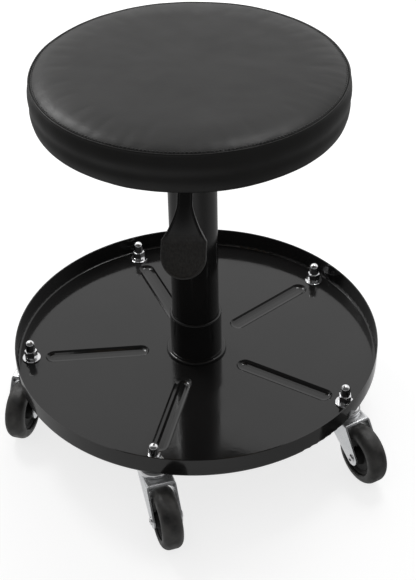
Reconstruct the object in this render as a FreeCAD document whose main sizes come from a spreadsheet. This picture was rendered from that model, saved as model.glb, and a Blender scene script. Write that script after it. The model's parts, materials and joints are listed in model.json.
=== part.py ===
"""Creeper seat: a round padded seat on a gas lift, with a tray and five casters.

Origin on the floor under the column, +Z up, front caster towards -Y. Millimetres.
"""
import FreeCAD, Part
import math
import os

import Sketcher

Vector = FreeCAD.Vector
Rotation = FreeCAD.Rotation
Place = FreeCAD.Placement

# Driving sizes, grouped by the piece that carries them
SIZES = {
    # Fits and clearances shared by all pieces
    "running_fit": 0.08,
    "press_fit": 0.02,
    "rest_gap": 0.3,
    "overrun": 5,
    # Wheels
    "wheel_radius": 31.75,
    "wheel_width": 21.5,
    "tyre_edge_radius": 7.5,
    "tyre_depth": 10.5,
    "tyre_shoulder": 1.2,
    "hub_rim_depth": 2.5,
    "hub_rim_inset": 1.5,
    "hub_web_width": 12,
    "hub_boss_radius": 7.5,
    "hub_side_play": 0.2,
    # Wheel axles
    "axle_radius": 3,
    "axle_head_radius": 4.6,
    "axle_head_height": 1.8,
    "axle_head_dish": 1.3,
    # Caster forks
    "fork_trail": 37.5,
    "fork_sheet": 2,
    "fork_wheel_room": 2.25,
    "fork_plate_drop": 1,
    "fork_front_reach": 15,
    "fork_rear_reach": 23,
    "fork_front_depth": 10,
    "fork_end_radius": 8,
    "fork_fold_radius": 3,
    "apron_sheet": 1.5,
    "apron_side_depth": 10,
    "apron_mid_depth": 3,
    # Raceway caps, balls and stems of the casters
    "cap_gap": 0.6,
    "cap_height": 6.6,
    "cap_radius": 16.5,
    "cap_sheet": 1.6,
    "cap_edge_radius": 4.5,
    "ball_gap": 0.2,
    "ball_circle_radius": 10.5,
    "stem_radius": 4,
    "stem_head_radius": 8,
    "stem_head_height": 2.5,
    # Fasteners of the casters
    "washer_radius": 9.8,
    "washer_thickness": 1.5,
    "lock_washer_radius": 6.8,
    "lock_washer_thickness": 2,
    "nut_width": 12,
    "nut_hex_height": 7.5,
    "nut_height": 20.5,
    "nut_dome_radius": 5.2,
    "nut_dome_shoulder": 7.8,
    "stem_nut_reach": 12,
    # Tray
    "tray_radius": 196,
    "stem_inset": 16,
    "tray_sheet": 1.2,
    "tray_height": 22.5,
    "tray_corner_radius": 3.6,
    "bead_collar_gap": 19.5,
    "bead_cap_lap": 1.2,
    "bead_width": 21,
    "bead_depth": 3.4,
    # Column collar
    "collar_radius": 27.6,
    "collar_height": 51.5,
    "collar_mouth_height": 3,
    "collar_mouth_radius": 26.4,
    "collar_flange_radius": 32.5,
    "collar_flange_height": 3.5,
    # Lift tube and the bush in its mouth
    "tube_radius": 25,
    "tube_wall": 1.5,
    "tube_length": 239.5,
    "end_plate_thickness": 3,
    "bush_length": 72,
    "bush_lip_height": 3,
    # Rod, thrust bearing and buffer
    "rod_radius": 5,
    "spigot_radius": 4,
    "spigot_reach": 5,
    "clip_radius": 7.5,
    "clip_thickness": 1.2,
    "clip_groove_depth": 0.8,
    "race_radius": 11,
    "race_thickness": 1.2,
    "thrust_ball_radius": 1.5,
    "thrust_circle_radius": 7.8,
    "buffer_radius": 12.5,
    "buffer_height": 12,
    # Gas cylinder
    "cylinder_radius": 14,
    "cylinder_wall": 1.6,
    "cylinder_tip_radius": 13,
    "cylinder_taper_length": 32,
    "cylinder_head_thickness": 3,
    "guide_inset": 4,
    "guide_length": 20,
    "seat_stroke": 120,
    "stroke_spare": 18,
    "piston_height": 8,
    "valve_plug_inset": 16,
    "valve_plug_height": 15,
    "valve_pin_radius": 3,
    "valve_pin_stand": 8,
    "valve_pin_length": 38,
    "valve_pin_dome": 1,
    # Socket, bracket and plate under the seat
    "socket_gap": 9.8,
    "socket_length": 26,
    "socket_radius": 19,
    "bracket_sheet": 2.5,
    "bracket_width": 46,
    "bracket_length": 66,
    "bracket_height": 18.5,
    "bracket_notch_room": 3,
    "cylinder_stand": 2,
    "seat_plate_side": 150,
    "seat_plate_sheet": 2.5,
    "seat_plate_corner": 14,
    "bolt_spacing": 124,
    "bolt_radius": 3,
    "bolt_head_width": 10,
    "bolt_head_height": 4,
    "tee_barrel_radius": 4.3,
    "tee_barrel_length": 8,
    "tee_flange_radius": 9,
    "tee_flange_thickness": 1.3,
    # Release lever
    "lever_pivot_reach": 24,
    "lever_bar_height": 6,
    "lever_bar_width": 11,
    "lever_pin_gap": 0.4,
    "lever_pin_radius": 2,
    "lever_pin_overhang": 1.5,
    "lever_tail": 3,
    "lever_neck_reach": 49,
    "lever_neck_drop": 41.4,
    "lever_shoulder_reach": 76.5,
    "lever_shoulder_drop": 93.3,
    "lever_tip_reach": 100,
    "lever_tip_drop": 123.3,
    "paddle_thickness": 9,
    "paddle_neck_width": 15,
    "paddle_width": 43.5,
    "paddle_neck_run": 25,
    "paddle_border": 2.2,
    "paddle_recess": 1.2,
    # Seat board and cushion
    "board_radius": 145,
    "board_thickness": 12,
    "cover_sheet": 1.2,
    "cover_wrap": 22,
    "foam_gap": 0.3,
    "cushion_height": 45,
    "crown_flat_radius": 20,
    "seam_ease": 2,
    "seam_drop": 5,
    "crown_rise": 1.4,
    "shoulder_ease": 6,
    "shoulder_drop": 13,
    "shoulder_bulge": 1.6,
    "hem_ease": 3.8,
    "hem_height": 3,
    "side_bulge": 1.2,
    "hem_foot_ease": 1.8,
    "hem_bulge": 1,
    "staple_inset": 11,
    "staple_length": 10,
    "staple_width": 1.2,
    "staple_thickness": 0.6,
}

COUNTS = {
    "ball_count": 12,
    "thrust_ball_count": 8,
    "staple_count": 24,
}
# Directions in degrees from +X towards +Y: that of the stem, and that in which the wheel trails
CASTERS = {
    "front": (270, -59.4),
    "right": (342, -47.3),
    "rear_right": (54, -76),
    "rear_left": (126, -62),
    "left": (198, -91.3),
}
LEVER_DIRECTION = 278

# Height of a quarter circle over its chord, for one unit of radius
QUARTER_SHARE = 1 - math.sqrt(0.5)

# Section of a pressed channel: shares of its depth, and of its half width left at that depth
BEAD_SHARES = ((0, 1), (0.55, 0.84), (0.88, 0.58), (1, 0.28))


class Size:
    """A length that carries its value and the sheet expression behind it."""

    def __init__(self, value, text):
        self.value = float(value)
        self.text = text

    def joined(self, other, value, sign):
        return Size(value, "(" + self.text + " " + sign + " " + text_of(other) + ")")

    def __add__(self, other):
        return self.joined(other, self.value + float(other), "+")

    def __sub__(self, other):
        return self.joined(other, self.value - float(other), "-")

    def __mul__(self, other):
        return self.joined(other, self.value * float(other), "*")

    def __truediv__(self, other):
        return self.joined(other, self.value / float(other), "/")

    def __neg__(self):
        return Size(-self.value, "(0 - " + self.text + ")")

    def __float__(self):
        return self.value


def text_of(amount):
    """The expression of a size, or a plain number as text."""
    if isinstance(amount, Size):
        return amount.text
    return "(" + repr(float(amount)) + ")"


class Sheet:
    """The document's spreadsheet, read by name as sizes."""

    def __init__(self, document):
        self.cells = document.addObject("Spreadsheet::Sheet", "Sizes")
        values = dict(SIZES)
        values.update(COUNTS)
        for row, (alias, value) in enumerate(values.items(), start=1):
            self.cells.set("A" + str(row), alias)
            self.cells.set("B" + str(row), str(value))
            self.cells.setAlias("B" + str(row), alias)
        document.recompute()

    def __getattr__(self, alias):
        return Size(self.cells.get(alias), "Sizes." + alias)


doc = FreeCAD.newDocument("CreeperSeat")
dim = Sheet(doc)

# Heights above the floor, worked out from the driving sizes
AXLE_HEIGHT = dim.wheel_radius
PLATE_UNDER = dim.wheel_radius * 2 - dim.fork_plate_drop
PLATE_TOP = PLATE_UNDER + dim.fork_sheet
TRAY_UNDER = PLATE_TOP + dim.cap_gap + dim.cap_height
TRAY_FLOOR = TRAY_UNDER + dim.tray_sheet
TRAY_TOP = TRAY_UNDER + dim.tray_height
WASHER_TOP = TRAY_FLOOR + dim.washer_thickness
NUT_FOOT = WASHER_TOP + dim.lock_washer_thickness
TUBE_TOP = TRAY_UNDER + dim.tube_length
BUSH_TOP = TUBE_TOP + dim.bush_lip_height
END_PLATE_TOP = TRAY_UNDER + dim.end_plate_thickness
LOWER_RACE_TOP = END_PLATE_TOP + dim.race_thickness
UPPER_RACE_FOOT = LOWER_RACE_TOP + dim.thrust_ball_radius * 2 + dim.running_fit * 2
UPPER_RACE_TOP = UPPER_RACE_FOOT + dim.race_thickness
BUFFER_TOP = UPPER_RACE_TOP + dim.buffer_height
CYLINDER_FOOT = BUFFER_TOP + dim.rest_gap
GUIDE_FOOT = CYLINDER_FOOT + dim.guide_inset
GUIDE_TOP = GUIDE_FOOT + dim.guide_length
PISTON_FOOT = GUIDE_TOP + dim.seat_stroke + dim.stroke_spare
PISTON_TOP = PISTON_FOOT + dim.piston_height
SOCKET_FOOT = BUSH_TOP + dim.socket_gap
BRACKET_FOOT = SOCKET_FOOT + dim.socket_length
CYLINDER_TOP = BRACKET_FOOT + dim.cylinder_stand
PIN_TOP = CYLINDER_TOP + dim.valve_pin_stand
PLATE_FOOT = BRACKET_FOOT + dim.bracket_height
BOARD_FOOT = PLATE_FOOT + dim.seat_plate_sheet
BOARD_TOP = BOARD_FOOT + dim.board_thickness
COVER_FOOT = BOARD_FOOT - dim.cover_sheet
CROWN_TOP = BOARD_FOOT + dim.cushion_height
LEVER_BAR_FOOT = PIN_TOP + dim.lever_pin_gap
LEVER_PIVOT_HEIGHT = LEVER_BAR_FOOT + dim.lever_bar_height / 2

# Widths shared by a piece and what it fits
FORK_INSIDE = dim.wheel_width + dim.fork_wheel_room * 2
FORK_OUTSIDE = FORK_INSIDE + dim.fork_sheet * 2
TYRE_BORE = dim.wheel_radius - dim.tyre_depth
TUBE_BORE = dim.tube_radius - dim.tube_wall
CYLINDER_BORE = dim.cylinder_radius - dim.cylinder_wall
STEM_BORE = dim.stem_radius + dim.running_fit
TAPER_FOOT = CYLINDER_TOP - dim.cylinder_taper_length
STEM_CIRCLE = dim.tray_radius - dim.stem_inset
BEAD_START = dim.collar_flange_radius + dim.bead_collar_gap
BEAD_END = STEM_CIRCLE - dim.cap_radius + dim.bead_cap_lap
SEAM_RADIUS = dim.board_radius + dim.seam_ease
SHOULDER_RADIUS = dim.board_radius + dim.shoulder_ease
HEM_RADIUS = dim.board_radius + dim.hem_ease
HEM_FOOT_RADIUS = dim.board_radius + dim.hem_foot_ease


def bind(item, path, size):
    """Tie a property of an object to the sheet."""
    item.setExpression(path, size.text)


def size_of_chord(start, end, bulge):
    """Radius of the arc over a chord whose middle stands off by the bulge."""
    across = end[0] - start[0] if isinstance(end[0], Size) else -start[0]
    along = end[1] - start[1] if isinstance(end[1], Size) else -start[1]
    chord_squared = across * across + along * along
    return chord_squared / (bulge * 8) + bulge / 2


def point(pair):
    return Vector(float(pair[0]), float(pair[1]), 0)


def arc_middle(start, end, bulge, left):
    """The point halfway along an arc, to the left or right of the way from start to end."""
    chord = end - start
    normal = Vector(-chord.y, chord.x, 0).normalize()
    if not left:
        normal = -normal
    return (start + end) / 2 + normal * bulge


def bulge_of_radius(start, end, radius):
    half_chord = (end - start).Length / 2
    return radius.value - math.sqrt(radius.value ** 2 - half_chord ** 2)


def pin_coordinate(sketch, geometry, end, kind, amount):
    """Hold one coordinate of a point: on the axis, or at a signed distance from the origin."""
    if not isinstance(amount, Size):
        axis = -2 if kind == "DistanceX" else -1
        sketch.addConstraint(Sketcher.Constraint("PointOnObject", geometry, end, axis))
        return
    places = (-1, 1, geometry, end) if amount.value >= 0 else (geometry, end, -1, 1)
    size = amount if amount.value >= 0 else -amount
    index = sketch.addConstraint(Sketcher.Constraint(kind, *places, size.value))
    sketch.setExpression("Constraints[" + str(index) + "]", size.text)


def sketch_on(body, role, name):
    """An empty sketch on one of the body's own origin planes."""
    sketch = body.newObject("Sketcher::SketchObject", name)
    plane = [feature for feature in body.Origin.OriginFeatures if feature.Role == role][0]
    sketch.AttachmentSupport = (plane, [""])
    sketch.MapMode = "FlatFace"
    return sketch


def outline(body, role, name, points, bulges=None, domes=None):
    """A closed outline with bound corners.

    bulges: index of a curved side to (height over its chord, left of its way).
    domes: index of a curved side to (radius, left of its way).
    """
    sketch = sketch_on(body, role, name)
    bulges = bulges or {}
    domes = domes or {}
    count = len(points)
    sides = []
    for index in range(count):
        start, end = point(points[index]), point(points[(index + 1) % count])
        if index in bulges:
            bulge, left = bulges[index]
            curve = Part.Arc(start, arc_middle(start, end, bulge.value, left), end)
        elif index in domes:
            radius, left = domes[index]
            curve = Part.Arc(start, arc_middle(start, end, bulge_of_radius(start, end, radius), left), end)
        else:
            curve = Part.LineSegment(start, end)
        geometry = sketch.addGeometry(curve, False)
        first = sketch.getPoint(geometry, 1)
        forward = first.distanceToPoint(start) < first.distanceToPoint(end)
        sides.append((geometry, 1, 2) if forward else (geometry, 2, 1))
    for index in range(count):
        previous, side = sides[index - 1], sides[index]
        sketch.addConstraint(Sketcher.Constraint("Coincident", previous[0], previous[2], side[0], side[1]))
        pin_coordinate(sketch, side[0], side[1], "DistanceX", points[index][0])
        pin_coordinate(sketch, side[0], side[1], "DistanceY", points[index][1])
    radii = {index: radius for index, (radius, left) in domes.items()}
    for index, (bulge, left) in bulges.items():
        radii[index] = size_of_chord(points[index], points[(index + 1) % count], bulge)
    for index, radius in radii.items():
        constraint = Sketcher.Constraint("Radius", sides[index][0], radius.value)
        number = sketch.addConstraint(constraint)
        sketch.setExpression("Constraints[" + str(number) + "]", radius.text)
    return sketch


def circles(body, role, name, places):
    """A sketch of circles, each (x, y, radius)."""
    sketch = sketch_on(body, role, name)
    for across, along, radius in places:
        circle = Part.Circle(Vector(float(across), float(along), 0), Vector(0, 0, 1), radius.value)
        geometry = sketch.addGeometry(circle, False)
        pin_coordinate(sketch, geometry, 3, "DistanceX", across)
        pin_coordinate(sketch, geometry, 3, "DistanceY", along)
        number = sketch.addConstraint(Sketcher.Constraint("Radius", geometry, radius.value))
        sketch.setExpression("Constraints[" + str(number) + "]", radius.text)
    return sketch


def body_named(label):
    body = doc.addObject("PartDesign::Body", label)
    body.Label = label
    return body


def turned(body, points, bulges=None, axis="V_Axis", role="XZ_Plane", domes=None):
    """Turn an outline once round an axis of its sketch."""
    sketch = outline(body, role, body.Label + "_profile", points, bulges, domes)
    feature = body.newObject("PartDesign::Revolution", body.Label + "_turned")
    feature.Profile = sketch
    feature.ReferenceAxis = (sketch, [axis])
    feature.Angle = 360
    return feature


def padded(body, sketch, length, both_sides=False, lift=None):
    """Pad a sketch, from its plane or from a height above it."""
    if lift is not None:
        bind(sketch, "AttachmentOffset.Base.z", lift)
    feature = body.newObject("PartDesign::Pad", sketch.Label + "_pad")
    feature.Profile = sketch
    bind(feature, "Length", length)
    if both_sides:
        feature.SideType = "Symmetric"
    return feature


def pocketed(body, sketch, length, both_sides=False, lift=None, upwards=False):
    """Cut a sketch's shape away, down from a height unless it is said to go up."""
    if lift is not None:
        bind(sketch, "AttachmentOffset.Base.z", lift)
    feature = body.newObject("PartDesign::Pocket", sketch.Label + "_cut")
    feature.Profile = sketch
    bind(feature, "Length", length)
    feature.Reversed = upwards
    if both_sides:
        feature.SideType = "Symmetric"
    return feature


def ring(body, inner, outer, foot, top):
    """A plain ring about Z."""
    return turned(body, [(inner, foot), (outer, foot), (outer, top), (inner, top)])


def grouped(label, shapes):
    """Equal pieces that share one node."""
    group = doc.addObject("Part::Feature", label)
    group.Label = label
    group.Shape = Part.makeCompound(shapes)
    return group


def around(shape, radius, directions):
    """Copies of a shape at a radius, each turned to its direction."""
    copies = []
    for direction in directions:
        turn = Rotation(Vector(0, 0, 1), direction)
        copy = shape.copy()
        copy.Placement = Place(turn.multVec(Vector(float(radius), 0, 0)), turn)
        copies.append(copy)
    return copies


def even_directions(count):
    steps = int(float(count))
    return [360 * step / steps for step in range(steps)]


def caster_place(name):
    """Where a caster's own frame stands: Z on the stem, the wheel trailing towards its +Y."""
    stem_direction, trail_direction = CASTERS[name]
    stem = Rotation(Vector(0, 0, 1), stem_direction).multVec(Vector(float(STEM_CIRCLE), 0, 0))
    return Place(stem, Rotation(Vector(0, 0, 1), trail_direction - 90))


def wheel_place(name):
    """Where a wheel's own frame stands: X along the axle, at the axle's middle."""
    axle = Place(Vector(0, float(dim.fork_trail), float(AXLE_HEIGHT)), Rotation())
    return caster_place(name).multiply(axle)


def make_tray(parts):
    """Pressed pan: a turned sheet with five radial channels, a column hole and five stem holes."""
    body = body_named("tray_blank")
    bore = dim.tube_radius + dim.press_fit
    corner = dim.tray_corner_radius
    inner_corner = corner - dim.tray_sheet
    inner_radius = dim.tray_radius - dim.tray_sheet
    turned(body, [
        (bore, TRAY_UNDER),
        (dim.tray_radius - corner, TRAY_UNDER),
        (dim.tray_radius, TRAY_UNDER + corner),
        (dim.tray_radius, TRAY_TOP),
        (inner_radius, TRAY_TOP),
        (inner_radius, TRAY_FLOOR + inner_corner),
        (inner_radius - inner_corner, TRAY_FLOOR),
        (bore, TRAY_FLOOR),
    ], {1: (corner * QUARTER_SHARE, False), 5: (inner_corner * QUARTER_SHARE, True)})
    doc.recompute()
    directions = [stem for stem, trail in CASTERS.values()]
    shape = body.Shape
    for direction in directions:
        turn = Rotation(Vector(0, 0, 1), direction)
        outside = channel(dim.bead_width / 2, TRAY_UNDER)
        inside = channel(dim.bead_width / 2 - dim.tray_sheet, TRAY_FLOOR)
        outside.Placement = Place(Vector(), turn)
        inside.Placement = Place(Vector(), turn)
        shape = shape.fuse(outside).cut(inside)
        hole = Part.makeCylinder(float(STEM_BORE), float(dim.tray_sheet + dim.overrun * 2))
        spot = turn.multVec(Vector(float(STEM_CIRCLE), 0, float(TRAY_UNDER - dim.overrun)))
        hole.Placement = Place(spot, Rotation())
        shape = shape.cut(hole)
    pressed = doc.addObject("Part::Feature", "tray")
    pressed.Label = "tray"
    pressed.Shape = shape.removeSplitter()
    parts.append(pressed)


def channel(half_width, level):
    """A round-ended channel along +X, round in section and open at its level."""
    left = float(BEAD_START + half_width)
    right = float(BEAD_END - half_width)
    rings = []
    for depth_share, width_share in BEAD_SHARES:
        wide = float(half_width * width_share)
        drop = float(level - dim.bead_depth * depth_share)
        corners = [Vector(left, -wide, drop), Vector(right, -wide, drop),
                   Vector(right, wide, drop), Vector(left, wide, drop)]
        edges = [
            Part.LineSegment(corners[0], corners[1]).toShape(),
            Part.Arc(corners[1], Vector(right + wide, 0, drop), corners[2]).toShape(),
            Part.LineSegment(corners[2], corners[3]).toShape(),
            Part.Arc(corners[3], Vector(left - wide, 0, drop), corners[0]).toShape(),
        ]
        rings.append(Part.Wire(edges))
    return Part.makeLoft(rings, True, True)


def make_column(parts):
    """Collar, lift tube, its end plate and the bush in its mouth."""
    collar = body_named("column_collar")
    bore = dim.tube_radius + dim.press_fit
    flange = TRAY_FLOOR + dim.collar_flange_height
    top = TRAY_FLOOR + dim.collar_height
    round_share = 0.2
    turned(collar, [
        (bore, TRAY_FLOOR),
        (dim.collar_flange_radius, TRAY_FLOOR),
        (dim.collar_flange_radius, TRAY_FLOOR + dim.collar_flange_height / 2),
        (dim.collar_flange_radius - dim.collar_flange_height / 2, flange),
        (dim.collar_radius, flange),
        (dim.collar_radius, top - dim.collar_mouth_height),
        (dim.collar_mouth_radius, top),
        (bore, top),
    ], {2: (dim.collar_flange_height * round_share / 2, False),
        5: (dim.collar_mouth_height * round_share, False)})

    tube = body_named("lift_tube")
    ring(tube, TUBE_BORE, dim.tube_radius, TRAY_UNDER, TUBE_TOP)

    end_plate = body_named("tube_end_plate")
    hole = dim.spigot_radius + dim.running_fit
    ring(end_plate, hole, TUBE_BORE - dim.press_fit, TRAY_UNDER, END_PLATE_TOP)

    bush = body_named("guide_bush")
    bush_bore = dim.cylinder_radius + dim.running_fit
    turned(bush, [
        (bush_bore, TUBE_TOP - dim.bush_length),
        (TUBE_BORE - dim.press_fit, TUBE_TOP - dim.bush_length),
        (TUBE_BORE - dim.press_fit, TUBE_TOP),
        (dim.tube_radius, TUBE_TOP),
        (dim.tube_radius - dim.bush_lip_height / 2, BUSH_TOP),
        (bush_bore, BUSH_TOP),
    ])
    parts.extend([collar, tube, end_plate, bush])


def make_rod(parts):
    """What turns in the foot of the tube: clip, races, balls, buffer, rod and piston."""
    spigot_foot = TRAY_UNDER - dim.spigot_reach
    groove_radius = dim.spigot_radius - dim.clip_groove_depth
    clip_top = TRAY_UNDER - dim.rest_gap
    clip_foot = clip_top - dim.clip_thickness
    rod = body_named("piston_rod")
    turned(rod, [
        (0, spigot_foot),
        (dim.spigot_radius, spigot_foot),
        (dim.spigot_radius, clip_foot - dim.running_fit),
        (groove_radius, clip_foot - dim.running_fit),
        (groove_radius, clip_top + dim.running_fit),
        (dim.spigot_radius, clip_top + dim.running_fit),
        (dim.spigot_radius, UPPER_RACE_TOP),
        (dim.rod_radius, UPPER_RACE_TOP),
        (dim.rod_radius, PISTON_FOOT),
        (0, PISTON_FOOT),
    ])
    clip = body_named("rod_clip")
    ring(clip, groove_radius + dim.press_fit, dim.clip_radius, clip_foot, clip_top)

    lower_race = body_named("lower_race")
    ring(lower_race, dim.spigot_radius + dim.press_fit, dim.race_radius, END_PLATE_TOP, LOWER_RACE_TOP)
    upper_race = body_named("upper_race")
    ring(upper_race, dim.spigot_radius + dim.press_fit, dim.race_radius, UPPER_RACE_FOOT, UPPER_RACE_TOP)
    height = LOWER_RACE_TOP + dim.thrust_ball_radius + dim.running_fit
    ball = Part.makeSphere(float(dim.thrust_ball_radius), Vector(0, 0, float(height)))
    balls = around(ball, dim.thrust_circle_radius, even_directions(dim.thrust_ball_count))
    doc.recompute()
    bearing = grouped("thrust_bearing", [lower_race.Shape, upper_race.Shape] + balls)

    buffer_ring = body_named("rubber_buffer")
    ring(buffer_ring, dim.rod_radius + dim.press_fit, dim.buffer_radius, UPPER_RACE_TOP, BUFFER_TOP)
    piston = body_named("piston")
    turned(piston, [
        (0, PISTON_FOOT),
        (CYLINDER_BORE - dim.running_fit, PISTON_FOOT),
        (CYLINDER_BORE - dim.running_fit, PISTON_TOP),
        (0, PISTON_TOP),
    ])
    parts.extend([rod, clip, bearing, buffer_ring, piston])


def make_cylinder(parts):
    """Gas cylinder with its rod guide, valve plug and valve pin."""
    cylinder = body_named("gas_cylinder")
    head_under = CYLINDER_TOP - dim.cylinder_head_thickness
    pin_bore = dim.valve_pin_radius + dim.running_fit
    neck = dim.cylinder_tip_radius - dim.cylinder_wall
    turned(cylinder, [
        (CYLINDER_BORE, CYLINDER_FOOT),
        (dim.cylinder_radius, CYLINDER_FOOT),
        (dim.cylinder_radius, TAPER_FOOT),
        (dim.cylinder_tip_radius, CYLINDER_TOP),
        (pin_bore, CYLINDER_TOP),
        (pin_bore, head_under),
        (neck, head_under),
        (neck, TAPER_FOOT),
        (CYLINDER_BORE, TAPER_FOOT),
    ])
    guide = body_named("rod_guide")
    ring(guide, dim.rod_radius + dim.running_fit, CYLINDER_BORE - dim.press_fit, GUIDE_FOOT, GUIDE_TOP)
    plug_top = CYLINDER_TOP - dim.valve_plug_inset
    plug = body_named("valve_plug")
    ring(plug, pin_bore, neck - dim.press_fit, plug_top - dim.valve_plug_height, plug_top)
    pin = body_named("valve_pin")
    pin_edge = dim.valve_pin_radius - dim.valve_pin_dome
    turned(pin, [
        (0, PIN_TOP - dim.valve_pin_length),
        (dim.valve_pin_radius, PIN_TOP - dim.valve_pin_length),
        (dim.valve_pin_radius, PIN_TOP - dim.valve_pin_dome),
        (pin_edge, PIN_TOP),
        (0, PIN_TOP),
    ])
    parts.extend([cylinder, guide, plug, pin])


def make_caster(parts, name):
    """One caster: stem, raceway cap, fork, axle, tyre and hub."""
    place = caster_place(name)
    stem = body_named(name + "_stem")
    head_top = PLATE_UNDER - dim.rest_gap
    turned(stem, [
        (0, head_top - dim.stem_head_height),
        (dim.stem_head_radius, head_top - dim.stem_head_height),
        (dim.stem_head_radius, head_top),
        (dim.stem_radius, head_top),
        (dim.stem_radius, NUT_FOOT + dim.stem_nut_reach),
        (0, NUT_FOOT + dim.stem_nut_reach),
    ])

    cap = body_named(name + "_raceway_cap")
    cap_foot = PLATE_TOP + dim.cap_gap
    ceiling = TRAY_UNDER - dim.cap_sheet
    inner_radius = dim.cap_radius - dim.cap_sheet
    inner_edge = dim.cap_edge_radius - dim.cap_sheet
    bore = dim.stem_radius + dim.press_fit
    turned(cap, [
        (bore, TRAY_UNDER),
        (bore, ceiling),
        (inner_radius - inner_edge, ceiling),
        (inner_radius, ceiling - inner_edge),
        (inner_radius, cap_foot),
        (dim.cap_radius, cap_foot),
        (dim.cap_radius, TRAY_UNDER - dim.cap_edge_radius),
        (dim.cap_radius - dim.cap_edge_radius, TRAY_UNDER),
    ], {2: (inner_edge * QUARTER_SHARE, True), 6: (dim.cap_edge_radius * QUARTER_SHARE, False)})

    fork = make_fork(name)
    axle = body_named(name + "_axle")
    half = FORK_OUTSIDE / 2
    face = half + dim.press_fit
    end = face + dim.axle_head_height
    dish = end - dim.axle_head_dish
    dish_share = 0.35
    lip_share = 0.6
    round_share = 0.25
    head_bulge = (dim.axle_head_height * round_share, True)
    turned(axle, [
        (-dish, 0),
        (-dish, dim.axle_head_radius * dish_share),
        (-end, dim.axle_head_radius * lip_share),
        (-face, dim.axle_head_radius),
        (-face, dim.axle_radius),
        (face, dim.axle_radius),
        (face, dim.axle_head_radius),
        (end, dim.axle_head_radius * lip_share),
        (dish, dim.axle_head_radius * dish_share),
        (dish, 0),
    ], {2: head_bulge, 6: head_bulge}, axis="H_Axis", role="XY_Plane")

    tyre = body_named(name + "_tyre")
    wide = dim.wheel_width / 2
    edge = dim.tyre_edge_radius
    bead = wide - dim.tyre_shoulder
    turned(tyre, [
        (-bead, TYRE_BORE),
        (-wide, TYRE_BORE + dim.tyre_shoulder),
        (-wide, dim.wheel_radius - edge),
        (edge - wide, dim.wheel_radius),
        (wide - edge, dim.wheel_radius),
        (wide, dim.wheel_radius - edge),
        (wide, TYRE_BORE + dim.tyre_shoulder),
        (bead, TYRE_BORE),
    ], {2: (edge * QUARTER_SHARE, True), 4: (edge * QUARTER_SHARE, True)}, axis="H_Axis", role="XY_Plane")

    hub = body_named(name + "_hub")
    hub_radius = TYRE_BORE - dim.press_fit
    rim = bead - dim.hub_rim_inset
    web = dim.hub_web_width / 2
    boss = FORK_INSIDE / 2 - dim.hub_side_play
    hub_bore = dim.axle_radius + dim.running_fit
    turned(hub, [
        (-boss, hub_bore),
        (-boss, dim.hub_boss_radius),
        (-web, dim.hub_boss_radius + dim.hub_rim_depth),
        (-web, hub_radius - dim.hub_rim_depth * 2),
        (-rim, hub_radius - dim.hub_rim_depth),
        (-rim, hub_radius),
        (rim, hub_radius),
        (rim, hub_radius - dim.hub_rim_depth),
        (web, hub_radius - dim.hub_rim_depth * 2),
        (web, dim.hub_boss_radius + dim.hub_rim_depth),
        (boss, dim.hub_boss_radius),
        (boss, hub_bore),
    ], axis="H_Axis", role="XY_Plane")

    for item in (stem, cap, fork):
        item.Placement = place
    for item in (axle, tyre, hub):
        item.Placement = wheel_place(name)
    parts.extend([stem, cap, fork, axle, tyre, hub])


def tangent_touch(corner, centre, radius, side):
    """Where a line from a corner touches a circle, on the side asked for."""
    away = corner - centre
    spread = math.acos(float(radius) / away.Length)
    turn = Rotation(Vector(0, 0, 1), math.degrees(side * spread))
    return centre + turn.multVec(away.normalize()) * float(radius)


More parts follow.
